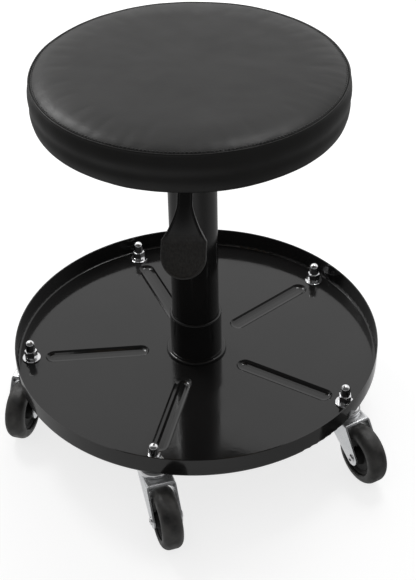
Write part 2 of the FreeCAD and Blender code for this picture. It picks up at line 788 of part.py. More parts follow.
def make_fork(name):
    """Pressed fork: a plate over the wheel, two tapered arms and an arched apron."""
    body = body_named(name + "_fork")
    sketch = sketch_on(body, "YZ_Plane", name + "_fork_side")
    front, rear = -dim.fork_front_reach, dim.fork_rear_reach
    front_foot = PLATE_TOP - dim.fork_front_depth
    centre = Vector(float(dim.fork_trail), float(AXLE_HEIGHT), 0)
    corners = [point((front, front_foot)), point((front, PLATE_TOP)), point((rear, PLATE_TOP))]
    rear_touch = tangent_touch(corners[2], centre, dim.fork_end_radius, -1)
    front_touch = tangent_touch(corners[0], centre, dim.fork_end_radius, 1)
    lowest = centre + ((rear_touch + front_touch) / 2 - centre).normalize() * float(dim.fork_end_radius)
    if lowest.y > centre.y:
        lowest = centre * 2 - lowest
    curves = [
        Part.LineSegment(corners[0], corners[1]),
        Part.LineSegment(corners[1], corners[2]),
        Part.LineSegment(corners[2], rear_touch),
        Part.Arc(rear_touch, lowest, front_touch),
        Part.LineSegment(front_touch, corners[0]),
    ]
    sides = [sketch.addGeometry(curve, False) for curve in curves]
    arc_start = sketch.getPoint(sides[3], 1)
    forward = arc_start.distanceToPoint(rear_touch) < arc_start.distanceToPoint(front_touch)
    arc_first, arc_last = (1, 2) if forward else (2, 1)
    constraint = Sketcher.Constraint
    sketch.addConstraint(constraint("Coincident", sides[0], 2, sides[1], 1))
    sketch.addConstraint(constraint("Coincident", sides[1], 2, sides[2], 1))
    sketch.addConstraint(constraint("Coincident", sides[4], 2, sides[0], 1))
    sketch.addConstraint(constraint("Tangent", sides[2], 2, sides[3], arc_first))
    sketch.addConstraint(constraint("Tangent", sides[3], arc_last, sides[4], 1))
    pin_coordinate(sketch, sides[0], 1, "DistanceX", front)
    pin_coordinate(sketch, sides[0], 1, "DistanceY", front_foot)
    pin_coordinate(sketch, sides[1], 1, "DistanceX", front)
    pin_coordinate(sketch, sides[1], 1, "DistanceY", PLATE_TOP)
    pin_coordinate(sketch, sides[2], 1, "DistanceX", rear)
    pin_coordinate(sketch, sides[2], 1, "DistanceY", PLATE_TOP)
    pin_coordinate(sketch, sides[3], 3, "DistanceX", dim.fork_trail)
    pin_coordinate(sketch, sides[3], 3, "DistanceY", AXLE_HEIGHT)
    number = sketch.addConstraint(constraint("Radius", sides[3], float(dim.fork_end_radius)))
    sketch.setExpression("Constraints[" + str(number) + "]", dim.fork_end_radius.text)
    blank = padded(body, sketch, FORK_OUTSIDE, both_sides=True)
    doc.recompute()

    half = float(FORK_OUTSIDE / 2)
    near = float(dim.press_fit)
    folds = []
    for number, edge in enumerate(blank.Shape.Edges, start=1):
        offs = [max(abs(abs(corner.X) - half), abs(corner.Z - float(PLATE_TOP))) for corner in edge.Vertexes]
        if max(offs) < near:
            folds.append("Edge" + str(number))
    fold = body.newObject("PartDesign::Fillet", name + "_fork_folds")
    fold.Base = (blank, folds)
    bind(fold, "Radius", dim.fork_fold_radius)

    far = dim.fork_trail + dim.wheel_radius
    gap = outline(body, "YZ_Plane", name + "_fork_gap", [
        (-far, AXLE_HEIGHT - dim.wheel_radius),
        (far, AXLE_HEIGHT - dim.wheel_radius),
        (far, PLATE_UNDER),
        (-far, PLATE_UNDER),
    ])
    pocketed(body, gap, FORK_INSIDE, both_sides=True)

    edge = FORK_INSIDE / 2 + dim.fork_sheet / 2
    apron = outline(body, "XZ_Plane", name + "_fork_apron", [
        (-edge, PLATE_TOP - dim.fork_sheet / 2),
        (-edge, PLATE_TOP - dim.apron_side_depth),
        (edge, PLATE_TOP - dim.apron_side_depth),
        (edge, PLATE_TOP - dim.fork_sheet / 2),
    ], {1: (dim.apron_side_depth - dim.apron_mid_depth, True)})
    padded(body, apron, dim.apron_sheet, lift=-rear)

    bore = circles(body, "XY_Plane", name + "_fork_bore", [(0, 0, STEM_BORE)])
    pocketed(body, bore, dim.fork_sheet + dim.overrun * 2, lift=PLATE_TOP + dim.overrun)
    ears = circles(body, "YZ_Plane", name + "_fork_ears",
                   [(dim.fork_trail, AXLE_HEIGHT, dim.axle_radius + dim.press_fit)])
    pocketed(body, ears, FORK_OUTSIDE + dim.overrun * 2, both_sides=True)
    return body


def make_caster_fasteners(parts):
    """Balls of the swivels, and washers and nuts on the tray, one group each."""
    directions = [stem for stem, trail in CASTERS.values()]
    ball_radius = (dim.cap_height - dim.cap_sheet + dim.cap_gap - dim.ball_gap * 2) / 2
    ball_height = PLATE_TOP + dim.ball_gap + ball_radius
    ball = Part.makeSphere(float(ball_radius), Vector(0, 0, float(ball_height)))
    race = Part.makeCompound(around(ball, dim.ball_circle_radius, even_directions(dim.ball_count)))
    balls = []
    for direction in directions:
        spot = Rotation(Vector(0, 0, 1), direction).multVec(Vector(float(STEM_CIRCLE), 0, 0))
        for sphere in race.Solids:
            balls.append(sphere.translated(spot))
    parts.append(grouped("swivel_balls", balls))

    washer = body_named("stem_washer")
    ring(washer, STEM_BORE, dim.washer_radius, TRAY_FLOOR, WASHER_TOP)
    lock_washer = body_named("lock_washer")
    ring(lock_washer, STEM_BORE, dim.lock_washer_radius, WASHER_TOP, NUT_FOOT)
    nut = make_nut()
    doc.recompute()
    parts.append(grouped("stem_washers", around(washer.Shape, STEM_CIRCLE, directions)))
    parts.append(grouped("lock_washers", around(lock_washer.Shape, STEM_CIRCLE, directions)))
    parts.append(grouped("acorn_nuts", around(nut.Shape, STEM_CIRCLE, directions)))


def hexagon(width):
    """Corners of a hexagon of a width across its flats."""
    reach_share = 1 / math.sqrt(3)
    half_share = reach_share / 2
    return [
        (width * reach_share, 0),
        (width * half_share, width / 2),
        (-(width * half_share), width / 2),
        (-(width * reach_share), 0),
        (-(width * half_share), -(width / 2)),
        (width * half_share, -(width / 2)),
    ]


def make_nut():
    """Acorn nut: a hexagon foot under a turned dome, with a blind bore."""
    nut = body_named("acorn_nut")
    foot = outline(nut, "XY_Plane", "nut_hexagon", hexagon(dim.nut_width))
    padded(nut, foot, dim.nut_hex_height, lift=NUT_FOOT)
    shoulder = NUT_FOOT + dim.nut_hex_height
    top = NUT_FOOT + dim.nut_height
    rise = top - shoulder - dim.nut_dome_shoulder
    ball_radius = (dim.nut_dome_radius * dim.nut_dome_radius + rise * rise) / (rise * 2)
    turned(nut, [
        (0, shoulder - dim.nut_hex_height / 2),
        (dim.nut_dome_radius, shoulder - dim.nut_hex_height / 2),
        (dim.nut_dome_radius, shoulder + dim.nut_dome_shoulder),
        (0, top),
    ], domes={2: (ball_radius, False)})
    bore = circles(nut, "XY_Plane", "nut_bore", [(0, 0, dim.stem_radius + dim.press_fit)])
    pocketed(nut, bore, dim.stem_nut_reach + dim.rest_gap, lift=NUT_FOOT, upwards=True)
    return nut


def make_seat_fittings(parts):
    """Taper socket, lever bracket, seat plate and its bolts and tee nuts."""
    socket = body_named("taper_socket")
    drop_share = float((dim.cylinder_radius - dim.cylinder_tip_radius) / dim.cylinder_taper_length)
    foot_bore = dim.cylinder_radius - (SOCKET_FOOT - TAPER_FOOT) * drop_share + dim.press_fit
    top_bore = dim.cylinder_radius - (BRACKET_FOOT - TAPER_FOOT) * drop_share + dim.press_fit
    turned(socket, [
        (foot_bore, SOCKET_FOOT),
        (dim.socket_radius, SOCKET_FOOT),
        (dim.socket_radius, BRACKET_FOOT),
        (top_bore, BRACKET_FOOT),
    ])

    turn = Rotation(Vector(0, 0, 1), LEVER_DIRECTION)
    bracket = body_named("lever_bracket")
    half_width = dim.bracket_width / 2
    web_top = BRACKET_FOOT + dim.bracket_sheet
    section = outline(bracket, "YZ_Plane", "bracket_section", [
        (-half_width, BRACKET_FOOT),
        (half_width, BRACKET_FOOT),
        (half_width, PLATE_FOOT),
        (half_width - dim.bracket_sheet, PLATE_FOOT),
        (half_width - dim.bracket_sheet, web_top),
        (dim.bracket_sheet - half_width, web_top),
        (dim.bracket_sheet - half_width, PLATE_FOOT),
        (-half_width, PLATE_FOOT),
    ])
    padded(bracket, section, dim.bracket_length, both_sides=True)
    seat_hole = circles(bracket, "XY_Plane", "bracket_hole", [(0, 0, dim.cylinder_radius)])
    pocketed(bracket, seat_hole, dim.bracket_sheet + dim.overrun * 2, lift=web_top + dim.overrun)
    notch_half = dim.lever_bar_width / 2 + dim.bracket_notch_room
    notch_end = dim.bracket_length / 2 + dim.overrun
    notch = outline(bracket, "XY_Plane", "bracket_notch", [
        (dim.lever_pivot_reach, -notch_half),
        (notch_end, -notch_half),
        (notch_end, notch_half),
        (dim.lever_pivot_reach, notch_half),
    ])
    pocketed(bracket, notch, dim.bracket_sheet + dim.overrun * 2, lift=web_top + dim.overrun)
    pivot = circles(bracket, "XZ_Plane", "bracket_pivot",
                    [(dim.lever_pivot_reach, LEVER_PIVOT_HEIGHT, dim.lever_pin_radius + dim.press_fit)])
    pocketed(bracket, pivot, dim.bracket_width + dim.overrun * 2, both_sides=True)
    bracket.Placement = Place(Vector(), turn)

    pin = doc.addObject("Part::Cylinder", "lever_pin")
    pin.Label = "lever_pin"
    bind(pin, "Radius", dim.lever_pin_radius)
    bind(pin, "Height", dim.bracket_width + dim.lever_pin_overhang * 2)
    start = float(dim.bracket_width / 2 + dim.lever_pin_overhang)
    laid = Place(Vector(float(dim.lever_pivot_reach), start, float(LEVER_PIVOT_HEIGHT)),
                 Rotation(Vector(1, 0, 0), 90))
    pin.Placement = Place(Vector(), turn).multiply(laid)

    plate = body_named("seat_plate")
    half = dim.seat_plate_side / 2
    corner = dim.seat_plate_corner
    corner_bulge = (corner * QUARTER_SHARE, False)
    sheet = outline(plate, "XY_Plane", "plate_outline", [
        (corner - half, -half), (half - corner, -half),
        (half, corner - half), (half, half - corner),
        (half - corner, half), (corner - half, half),
        (-half, half - corner), (-half, corner - half),
    ], {1: corner_bulge, 3: corner_bulge, 5: corner_bulge, 7: corner_bulge})
    padded(plate, sheet, dim.seat_plate_sheet, lift=PLATE_FOOT)
    spots = bolt_spots()
    holes = circles(plate, "XY_Plane", "plate_holes",
                    [(x, y, dim.bolt_radius + dim.press_fit) for x, y in spots])
    pocketed(plate, holes, dim.seat_plate_sheet + dim.overrun * 2, lift=BOARD_FOOT + dim.overrun)

    bolt = body_named("plate_bolt")
    head = outline(bolt, "XY_Plane", "bolt_head", hexagon(dim.bolt_head_width))
    padded(bolt, head, dim.bolt_head_height, lift=PLATE_FOOT - dim.bolt_head_height)
    shank = circles(bolt, "XY_Plane", "bolt_shank", [(0, 0, dim.bolt_radius)])
    padded(bolt, shank, dim.seat_plate_sheet + dim.board_thickness - dim.rest_gap, lift=PLATE_FOOT)

    tee_nut = body_named("tee_nut")
    flange_foot = BOARD_TOP - dim.tee_flange_thickness
    turned(tee_nut, [
        (dim.bolt_radius + dim.press_fit, BOARD_TOP - dim.tee_barrel_length),
        (dim.tee_barrel_radius, BOARD_TOP - dim.tee_barrel_length),
        (dim.tee_barrel_radius, flange_foot),
        (dim.tee_flange_radius, flange_foot),
        (dim.tee_flange_radius, BOARD_TOP),
        (dim.bolt_radius + dim.press_fit, BOARD_TOP),
    ])
    doc.recompute()
    places = [Vector(float(x), float(y), 0) for x, y in spots]
    bolts = grouped("plate_bolts", [bolt.Shape.translated(place) for place in places])
    tee_nuts = grouped("tee_nuts", [tee_nut.Shape.translated(place) for place in places])
    parts.extend([socket, bracket, pin, plate, bolts, tee_nuts])


def bolt_spots():
    reach = dim.bolt_spacing / 2
    return [(reach, reach), (-reach, reach), (-reach, -reach), (reach, -reach)]


def bent_bar(points, thickness, width):
    """A bar of even thickness along points in the XZ plane, mitred at its bends, even about Y."""
    places = [Vector(float(x), 0, float(z)) for x, z in points]
    normals = []
    for start, end in zip(places, places[1:]):
        along = (end - start).normalize()
        normals.append(Vector(-along.z, 0, along.x))
    offsets = [normals[0]]
    for before, after in zip(normals, normals[1:]):
        middle = (before + after).normalize()
        offsets.append(middle / middle.dot(before))
    offsets.append(normals[-1])
    half = float(thickness) / 2
    upper = [place + offset * half for place, offset in zip(places, offsets)]
    lower = [place - offset * half for place, offset in zip(places, offsets)]
    corners = upper + lower[::-1]
    face = Part.Face(Part.makePolygon(corners + corners[:1]))
    face.translate(Vector(0, -float(width) / 2, 0))
    return face.extrude(Vector(0, float(width), 0))


def paddle_blank(points, inset, depth):
    """The paddle's outline, a bottle shape, cut through its length by a prism."""
    neck, shoulder, tip = [Vector(float(x), 0, float(z)) for x, z in points]
    run = (shoulder - neck).Length
    reach = run + (tip - shoulder).Length - inset
    narrow = float(dim.paddle_neck_width) / 2 - inset
    wide = float(dim.paddle_width) / 2 - inset
    neck_run = float(dim.paddle_neck_run)
    flare_share = 0.38
    flare = Vector((neck_run + run) / 2, narrow + (wide - narrow) * flare_share, 0)
    mirror = Vector(flare.x, -flare.y, 0)
    edges = [
        Part.LineSegment(Vector(inset, -narrow, 0), Vector(neck_run, -narrow, 0)),
        Part.Arc(Vector(neck_run, -narrow, 0), mirror, Vector(run, -wide, 0)),
        Part.LineSegment(Vector(run, -wide, 0), Vector(reach - wide, -wide, 0)),
        Part.Arc(Vector(reach - wide, -wide, 0), Vector(reach, 0, 0), Vector(reach - wide, wide, 0)),
        Part.LineSegment(Vector(reach - wide, wide, 0), Vector(run, wide, 0)),
        Part.Arc(Vector(run, wide, 0), flare, Vector(neck_run, narrow, 0)),
        Part.LineSegment(Vector(neck_run, narrow, 0), Vector(inset, narrow, 0)),
        Part.LineSegment(Vector(inset, narrow, 0), Vector(inset, -narrow, 0)),
    ]
    face = Part.Face(Part.Wire([edge.toShape() for edge in edges]))
    face.translate(Vector(0, 0, -float(depth)))
    prism = face.extrude(Vector(0, 0, float(depth) * 2))
    along = (tip - neck).normalize()
    slope = math.degrees(math.atan2(-along.z, along.x))
    prism.Placement = Place(neck, Rotation(Vector(0, 1, 0), slope))
    return prism


def make_lever(parts):
    """Steel bar from over the valve pin to the moulded paddle."""
    turn = Rotation(Vector(0, 0, 1), LEVER_DIRECTION)
    neck = (dim.lever_neck_reach, LEVER_PIVOT_HEIGHT - dim.lever_neck_drop)
    shoulder = (dim.lever_shoulder_reach, LEVER_PIVOT_HEIGHT - dim.lever_shoulder_drop)
    tip = (dim.lever_tip_reach, LEVER_PIVOT_HEIGHT - dim.lever_tip_drop)
    bar_end_share = 0.5
    bar_end = (
        neck[0] + (shoulder[0] - neck[0]) * bar_end_share,
        neck[1] - (neck[1] - shoulder[1]) * bar_end_share,
    )
    inner = (-dim.lever_tail, LEVER_PIVOT_HEIGHT)
    knee = (dim.lever_pivot_reach + dim.lever_bar_height / 2, LEVER_PIVOT_HEIGHT)
    bar = bent_bar([inner, knee, neck, bar_end], dim.lever_bar_height, dim.lever_bar_width)
    bore_start = -float(dim.lever_bar_width / 2 + dim.overrun)
    bore = Part.makeCylinder(
        float(dim.lever_pin_radius + dim.running_fit), float(dim.lever_bar_width + dim.overrun * 2),
        Vector(float(dim.lever_pivot_reach), bore_start, float(LEVER_PIVOT_HEIGHT)), Vector(0, 1, 0))
    arm = doc.addObject("Part::Feature", "lever_arm")
    arm.Label = "lever_arm"
    arm.Shape = bar.cut(bore)
    arm.Placement = Place(Vector(), turn)

    points = [neck, shoulder, tip]
    depth = dim.paddle_thickness + dim.overrun
    slab = bent_bar(points, dim.paddle_thickness, dim.paddle_width + dim.overrun * 2)
    raised = slab.copy()
    lift = dim.paddle_thickness - dim.paddle_recess
    rise = bent_normal(points) * float(lift)
    raised.translate(rise)
    body = slab.common(paddle_blank(points, 0, depth))
    recess = raised.common(paddle_blank(points, float(dim.paddle_border), depth))
    paddle = doc.addObject("Part::Feature", "lever_paddle")
    paddle.Label = "lever_paddle"
    paddle.Shape = body.cut(recess).cut(bar)
    paddle.Placement = Place(Vector(), turn)
    parts.extend([arm, paddle])


def bent_normal(points):
    """The outward direction of the paddle's face, from neck to tip."""
    neck, tip = points[0], points[-1]
    along = Vector(float(tip[0]) - float(neck[0]), 0, float(tip[1]) - float(neck[1])).normalize()
    return Vector(-along.z, 0, along.x)


def cushion_outline(inset):
    """Half section of the cushion, drawn in at the hem, crowned on top; inset inwards all round."""
    points = [
        (0, BOARD_FOOT),
        (HEM_FOOT_RADIUS - inset, BOARD_FOOT),
        (HEM_RADIUS - inset, BOARD_FOOT + dim.hem_height),
        (SHOULDER_RADIUS - inset, CROWN_TOP - dim.shoulder_drop),
        (SEAM_RADIUS - inset, CROWN_TOP - dim.seam_drop - inset),
        (dim.crown_flat_radius, CROWN_TOP - inset),
        (0, CROWN_TOP - inset),
    ]
    bulges = {
        1: (dim.hem_bulge, False),
        2: (dim.side_bulge, False),
        3: (dim.shoulder_bulge, False),
        4: (dim.crown_rise, False),
    }
    return points, bulges


def make_cushion(parts):
    """Board, foam, cover and staples."""
    board = body_named("seat_board")
    sheet = circles(board, "XY_Plane", "board_outline", [(0, 0, dim.board_radius)])
    padded(board, sheet, dim.board_thickness, lift=BOARD_FOOT)
    spots = bolt_spots()
    holes = circles(board, "XY_Plane", "board_holes",
                    [(x, y, dim.tee_barrel_radius + dim.press_fit) for x, y in spots])
    pocketed(board, holes, dim.board_thickness + dim.overrun * 2, lift=BOARD_TOP + dim.overrun)
    sinks = circles(board, "XY_Plane", "board_sinks",
                    [(x, y, dim.tee_flange_radius + dim.press_fit) for x, y in spots])
    pocketed(board, sinks, dim.tee_flange_thickness, lift=BOARD_TOP)

    skin = dim.cover_sheet
    cover = body_named("seat_cover")
    points, bulges = cushion_outline(skin * 0)
    wrap = HEM_FOOT_RADIUS - dim.cover_wrap
    points[0] = (wrap, COVER_FOOT)
    points[1] = (HEM_FOOT_RADIUS, COVER_FOOT)
    inner_points, inner_bulges = cushion_outline(skin)
    inner_points[0] = (wrap, BOARD_FOOT)
    back = inner_points[::-1]
    last = len(back) - 1
    for side, (bulge, left) in inner_bulges.items():
        bulges[len(points) + last - 1 - side] = (bulge, not left)
    turned(cover, points + back, bulges)

    gap = skin + dim.foam_gap
    foam = body_named("seat_foam")
    foam_points, foam_bulges = cushion_outline(gap)
    foot = BOARD_TOP + dim.press_fit
    foam_points = [(0, foot), (HEM_RADIUS - gap, foot)] + foam_points[3:]
    lifted = {side - 1: bulge for side, bulge in foam_bulges.items() if side > 2}
    turned(foam, foam_points, lifted)

    staple = Part.makeBox(
        float(dim.staple_width), float(dim.staple_length), float(dim.staple_thickness),
        Vector(-float(dim.staple_width / 2), -float(dim.staple_length / 2),
               float(COVER_FOOT - dim.staple_thickness)))
    directions = even_directions(dim.staple_count)
    staples = grouped("cover_staples", around(staple, dim.board_radius - dim.staple_inset, directions))
    parts.extend([board, cover, foam, staples])


def check(parts):
    """Stop on any failed object or bad shape."""
    for item in doc.Objects:
        bad = [word for word in ("Invalid", "Error") if word in item.State]
        if bad:
            raise RuntimeError(item.Label + " failed: " + ", ".join(bad))
    for item in parts:
        if item.Shape.isNull() or not item.Shape.isValid() or not item.Shape.Solids:
            raise RuntimeError(item.Label + " has no valid solid")


def main():
    parts = []
    make_tray(parts)
    make_column(parts)
    make_rod(parts)
    make_cylinder(parts)
    for name in CASTERS:
        make_caster(parts, name)
    make_caster_fasteners(parts)
    make_seat_fittings(parts)
    make_lever(parts)
    make_cushion(parts)
    doc.recompute()
    check(parts)
    os.makedirs("parts", exist_ok=True)
    for item in parts:
        item.Shape.exportStep("parts/" + item.Label + ".step")
        print(item.Label, len(item.Shape.Solids), round(item.Shape.Volume, 1))


main()
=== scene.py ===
import json
import math
import random

import bpy
import numpy
from mathutils import Matrix, Vector, noise

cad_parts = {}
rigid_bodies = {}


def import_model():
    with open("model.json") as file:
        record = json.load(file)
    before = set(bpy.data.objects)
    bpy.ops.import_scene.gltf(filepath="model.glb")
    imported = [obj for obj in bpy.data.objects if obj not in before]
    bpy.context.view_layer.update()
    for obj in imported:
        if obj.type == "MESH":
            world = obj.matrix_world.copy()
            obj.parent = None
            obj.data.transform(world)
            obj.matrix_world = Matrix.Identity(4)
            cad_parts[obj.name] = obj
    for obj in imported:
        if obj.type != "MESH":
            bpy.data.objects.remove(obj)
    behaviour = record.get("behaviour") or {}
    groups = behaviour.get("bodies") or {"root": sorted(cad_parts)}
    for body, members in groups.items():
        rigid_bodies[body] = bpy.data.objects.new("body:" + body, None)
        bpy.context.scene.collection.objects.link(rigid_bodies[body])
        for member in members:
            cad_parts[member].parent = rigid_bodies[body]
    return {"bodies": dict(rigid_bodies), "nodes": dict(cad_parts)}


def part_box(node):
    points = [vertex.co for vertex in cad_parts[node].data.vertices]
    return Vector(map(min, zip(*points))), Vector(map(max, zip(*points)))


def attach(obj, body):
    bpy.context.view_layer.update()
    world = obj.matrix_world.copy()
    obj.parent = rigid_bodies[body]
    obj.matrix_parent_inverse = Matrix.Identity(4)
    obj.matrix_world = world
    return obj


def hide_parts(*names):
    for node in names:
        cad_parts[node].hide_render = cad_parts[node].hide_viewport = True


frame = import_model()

MM = 0.001
SEED = 7
CASTER_NAMES = ("front", "right", "rear_right", "rear_left", "left")
WHITE = (1.0, 1.0, 1.0, 1.0)


# Start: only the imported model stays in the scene

def clear_startup():
    kept = set(frame["nodes"].values()) | set(frame["bodies"].values())
    for thing in list(bpy.data.objects):
        if thing not in kept:
            bpy.data.objects.remove(thing)


clear_startup()
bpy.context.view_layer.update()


# Node trees

class Graph:
    """Adds nodes to a node tree. An input is fed a plain value or another node's output."""

    def __init__(self, tree):
        self.nodes = tree.nodes
        self.links = tree.links

    def feed(self, node, feeds):
        for socket, source in feeds.items():
            if isinstance(source, bpy.types.NodeSocket):
                self.links.new(source, node.inputs[socket])
            else:
                node.inputs[socket].default_value = source

    def add(self, kind, feeds, **settings):
        """A new node's outputs. The kind is its type's name after ShaderNode."""
        node = self.nodes.new("ShaderNode" + kind)
        for name, value in settings.items():
            setattr(node, name, value)
        self.feed(node, feeds)
        return node.outputs

    def maths(self, operation, *sources):
        return self.add("Math", dict(enumerate(sources)), operation=operation)["Value"]

    def measured(self, operation, *sources):
        """A plain number worked out from one or two vectors."""
        return self.add("VectorMath", dict(enumerate(sources)), operation=operation)["Value"]

    def spread(self, source, low, high, ends=(0.3, 0.7), way="LINEAR"):
        """The source's values between the two ends, spread from low to high."""
        feeds = {"Value": source, "From Min": ends[0], "From Max": ends[1], "To Min": low, "To Max": high}
        return self.add("MapRange", feeds, interpolation_type=way)["Result"]

    def mixed(self, share, first, second):
        return self.add("MixShader", {0: share, 1: first, 2: second})["Shader"]

    def background(self, strength):
        return self.add("Background", {"Color": WHITE, "Strength": strength})["Background"]


class Finish(Graph):
    """A procedural material. Its textures are set out in metres, in the part's own frame."""

    def __init__(self, name, colour, roughness, metallic=0.0, specular=0.5):
        self.material = bpy.data.materials.new(name)
        self.material.use_nodes = True
        super().__init__(self.material.node_tree)
        self.shader = self.nodes["Principled BSDF"]
        self.place = self.add("TexCoord", {})["Object"]
        self.relief = None
        self.feed(self.shader, {"Base Color": (*colour, 1.0), "Roughness": roughness,
                                "Metallic": metallic, "Specular IOR Level": specular})

    def noise(self, size, detail=2.0, stretch=(1.0, 1.0, 1.0)):
        """Soft random patches of about that size in metres."""
        place = self.add("Mapping", {"Vector": self.place, "Scale": stretch})["Vector"]
        return self.add("TexNoise", {"Vector": place, "Scale": 1.0 / size, "Detail": detail})["Fac"]

    def cells(self, size):
        """Rounded cells of about that size in metres, as in leather grain."""
        feeds = {"Vector": self.place, "Scale": 1.0 / size}
        return self.add("TexVoronoi", feeds, feature="SMOOTH_F1")["Distance"]

    def vary_roughness(self, source, low, high, ends=(0.3, 0.7)):
        self.feed(self.shader, {"Roughness": self.spread(source, low, high, ends)})

    def vary_colour(self, source, dark, light, ends=(0.3, 0.7)):
        ramp = self.nodes.new("ShaderNodeValToRGB")
        for stop, position, colour in zip(ramp.color_ramp.elements, ends, (dark, light)):
            stop.position = position
            stop.color = (*colour, 1.0)
        self.feed(ramp, {"Fac": source})
        self.feed(self.shader, {"Base Color": ramp.outputs["Color"]})

    def raise_by(self, source, height):
        """Adds fine relief of that height in metres over the relief already there."""
        feeds = {"Height": source, "Strength": 1.0, "Distance": height}
        if self.relief is not None:
            feeds["Normal"] = self.relief
        self.relief = self.add("Bump", feeds)["Normal"]
        self.feed(self.shader, {"Normal": self.relief})


# Materials: each finish is one Principled shader and the texture nodes that feed it

def grey(level):
    return (level, level, level)


def black_paint():
    """Gloss powder coat: deep black, with a faint orange peel."""
    finish = Finish("gloss_black_paint", (0.011, 0.0108, 0.0108), roughness=0.09)
    finish.vary_colour(finish.noise(90 * MM), dark=(0.0095, 0.0094, 0.0094), light=(0.0135, 0.0130, 0.0130))
    finish.vary_roughness(finish.noise(35 * MM, detail=4.0), low=0.07, high=0.14)
    finish.raise_by(finish.noise(3.2 * MM, detail=1.0), height=0.02 * MM)
    return finish.material


def black_plastic():
    """Moulded black plastic with a fine spark texture."""
    finish = Finish("satin_black_plastic", (0.016, 0.0155, 0.015), roughness=0.38)
    finish.vary_colour(finish.noise(30 * MM), dark=(0.0135, 0.0132, 0.013), light=(0.0195, 0.019, 0.018))
    finish.vary_roughness(finish.noise(12 * MM, detail=3.0), low=0.34, high=0.46)
    finish.raise_by(finish.noise(0.5 * MM, detail=1.0), height=0.02 * MM)
    return finish.material


def zinc_steel():
    """Bright zinc plate on rolled steel: soft reflections and faint rolling marks."""
    finish = Finish("zinc_plated_steel", (0.66, 0.675, 0.69), roughness=0.26, metallic=0.88)
    patches = finish.noise(20 * MM, detail=4.0)
    finish.vary_colour(patches, dark=(0.80, 0.815, 0.83), light=(0.90, 0.91, 0.92))
    finish.vary_roughness(finish.noise(8 * MM, detail=5.0), low=0.24, high=0.38)
    finish.raise_by(finish.noise(1.5 * MM, detail=3.0, stretch=(1.0, 1.0, 0.15)), height=0.02 * MM)
    return finish.material


def bearing_steel():
    """Ground steel, slightly oiled."""
    finish = Finish("ground_steel", (0.50, 0.50, 0.51), roughness=0.18, metallic=1.0)
    finish.vary_colour(finish.noise(10 * MM), dark=(0.44, 0.44, 0.45), light=(0.56, 0.56, 0.57))
    finish.vary_roughness(finish.noise(4 * MM, detail=3.0), low=0.14, high=0.26)
    return finish.material


def chrome():
    """Bright plate with a light haze."""
    finish = Finish("bright_chrome", (0.80, 0.80, 0.81), roughness=0.08, metallic=1.0)
    finish.vary_colour(finish.noise(6 * MM), dark=(0.74, 0.74, 0.75), light=(0.84, 0.84, 0.85))
    finish.vary_roughness(finish.noise(4 * MM, detail=4.0), low=0.05, high=0.13)
    finish.raise_by(finish.noise(3 * MM), height=0.01 * MM)
    return finish.material


# Heights in metres where the paddle's painted shade at the neck gives way to the lighter painted-reflection
# colour below it
PAINTED_NECK_SHADE_LEVELS = (0.273, 0.281)


def grained_plastic_with_painted_shade():
    """The paddle: smooth at the neck, with painted shade making the neck near black, and fine lines drawn
    down the part below it, which painted reflection makes lighter.
    """
    finish = Finish("grained_black_plastic_painted_neck_shade", (0.018, 0.0172, 0.0165), roughness=0.30)
    lines = finish.noise(1.6 * MM, detail=4.0, stretch=(1.0, 1.0, 0.12))
    # Painted shade and reflection: the colour follows height, near black above these levels and lighter below
    # them, where it also carries the grain lines
    level = finish.add("SeparateXYZ", {"Vector": finish.place})["Z"]
    painted_face_light = finish.spread(level, 1.0, 0.0, ends=PAINTED_NECK_SHADE_LEVELS)
    grain_and_painted_light = finish.maths("MULTIPLY", finish.spread(lines, 0.35, 1.0), painted_face_light)
    finish.vary_colour(grain_and_painted_light, dark=grey(0.003), light=(0.048, 0.0455, 0.0425), ends=(0.0, 1.0))
    finish.vary_roughness(painted_face_light, low=0.17, high=0.46, ends=(0.0, 1.0))
    finish.raise_by(grain_and_painted_light, height=0.03 * MM)
    return finish.material


def hub_plastic():
    """Dull black plastic of the wheel hubs."""
    finish = Finish("dull_black_plastic", grey(0.005), roughness=0.55, specular=0.25)
    finish.vary_colour(finish.noise(10 * MM), dark=grey(0.004), light=(0.0075, 0.0073, 0.007))
    finish.raise_by(finish.noise(0.6 * MM), height=0.02 * MM)
    return finish.material


def tyre_rubber():
    """Moulded black rubber, a little dusty where it rolls."""
    finish = Finish("tyre_rubber", (0.020, 0.0198, 0.0193), roughness=0.45)
    finish.vary_colour(finish.noise(11 * MM, detail=5.0), dark=grey(0.013), light=(0.060, 0.058, 0.055))
    finish.vary_roughness(finish.noise(6 * MM, detail=4.0), low=0.36, high=0.56)
    finish.raise_by(finish.noise(0.9 * MM), height=0.03 * MM)
    return finish.material


def buffer_rubber():
    """Matt rubber."""
    finish = Finish("buffer_rubber", grey(0.03), roughness=0.7)
    finish.vary_colour(finish.noise(4 * MM, detail=3.0), dark=grey(0.022), light=(0.038, 0.037, 0.036))
    finish.raise_by(finish.noise(0.8 * MM), height=0.03 * MM)
    return finish.material


def leathercloth():
    """Black leathercloth: fine grain, satin, with broad soft changes of tone."""
    finish = Finish("black_leathercloth", (0.012, 0.0117, 0.0113), roughness=0.40, specular=0.24)
    patches = finish.noise(50 * MM, detail=3.0)
    finish.vary_colour(patches, dark=(0.0100, 0.0098, 0.0094), light=(0.0145, 0.0141, 0.0135))
    finish.vary_roughness(finish.noise(30 * MM, detail=4.0), low=0.35, high=0.43)
    finish.raise_by(finish.cells(1.1 * MM), height=0.04 * MM)
    finish.raise_by(finish.noise(3.5 * MM, detail=3.0), height=0.04 * MM)
    return finish.material


def thread():
    """Black sewing thread, twisted."""
    finish = Finish("black_thread", grey(0.02), roughness=0.55)
    finish.vary_colour(finish.noise(0.6 * MM), dark=grey(0.012), light=(0.035, 0.035, 0.034))
    finish.raise_by(finish.noise(0.3 * MM), height=0.04 * MM)
    return finish.material


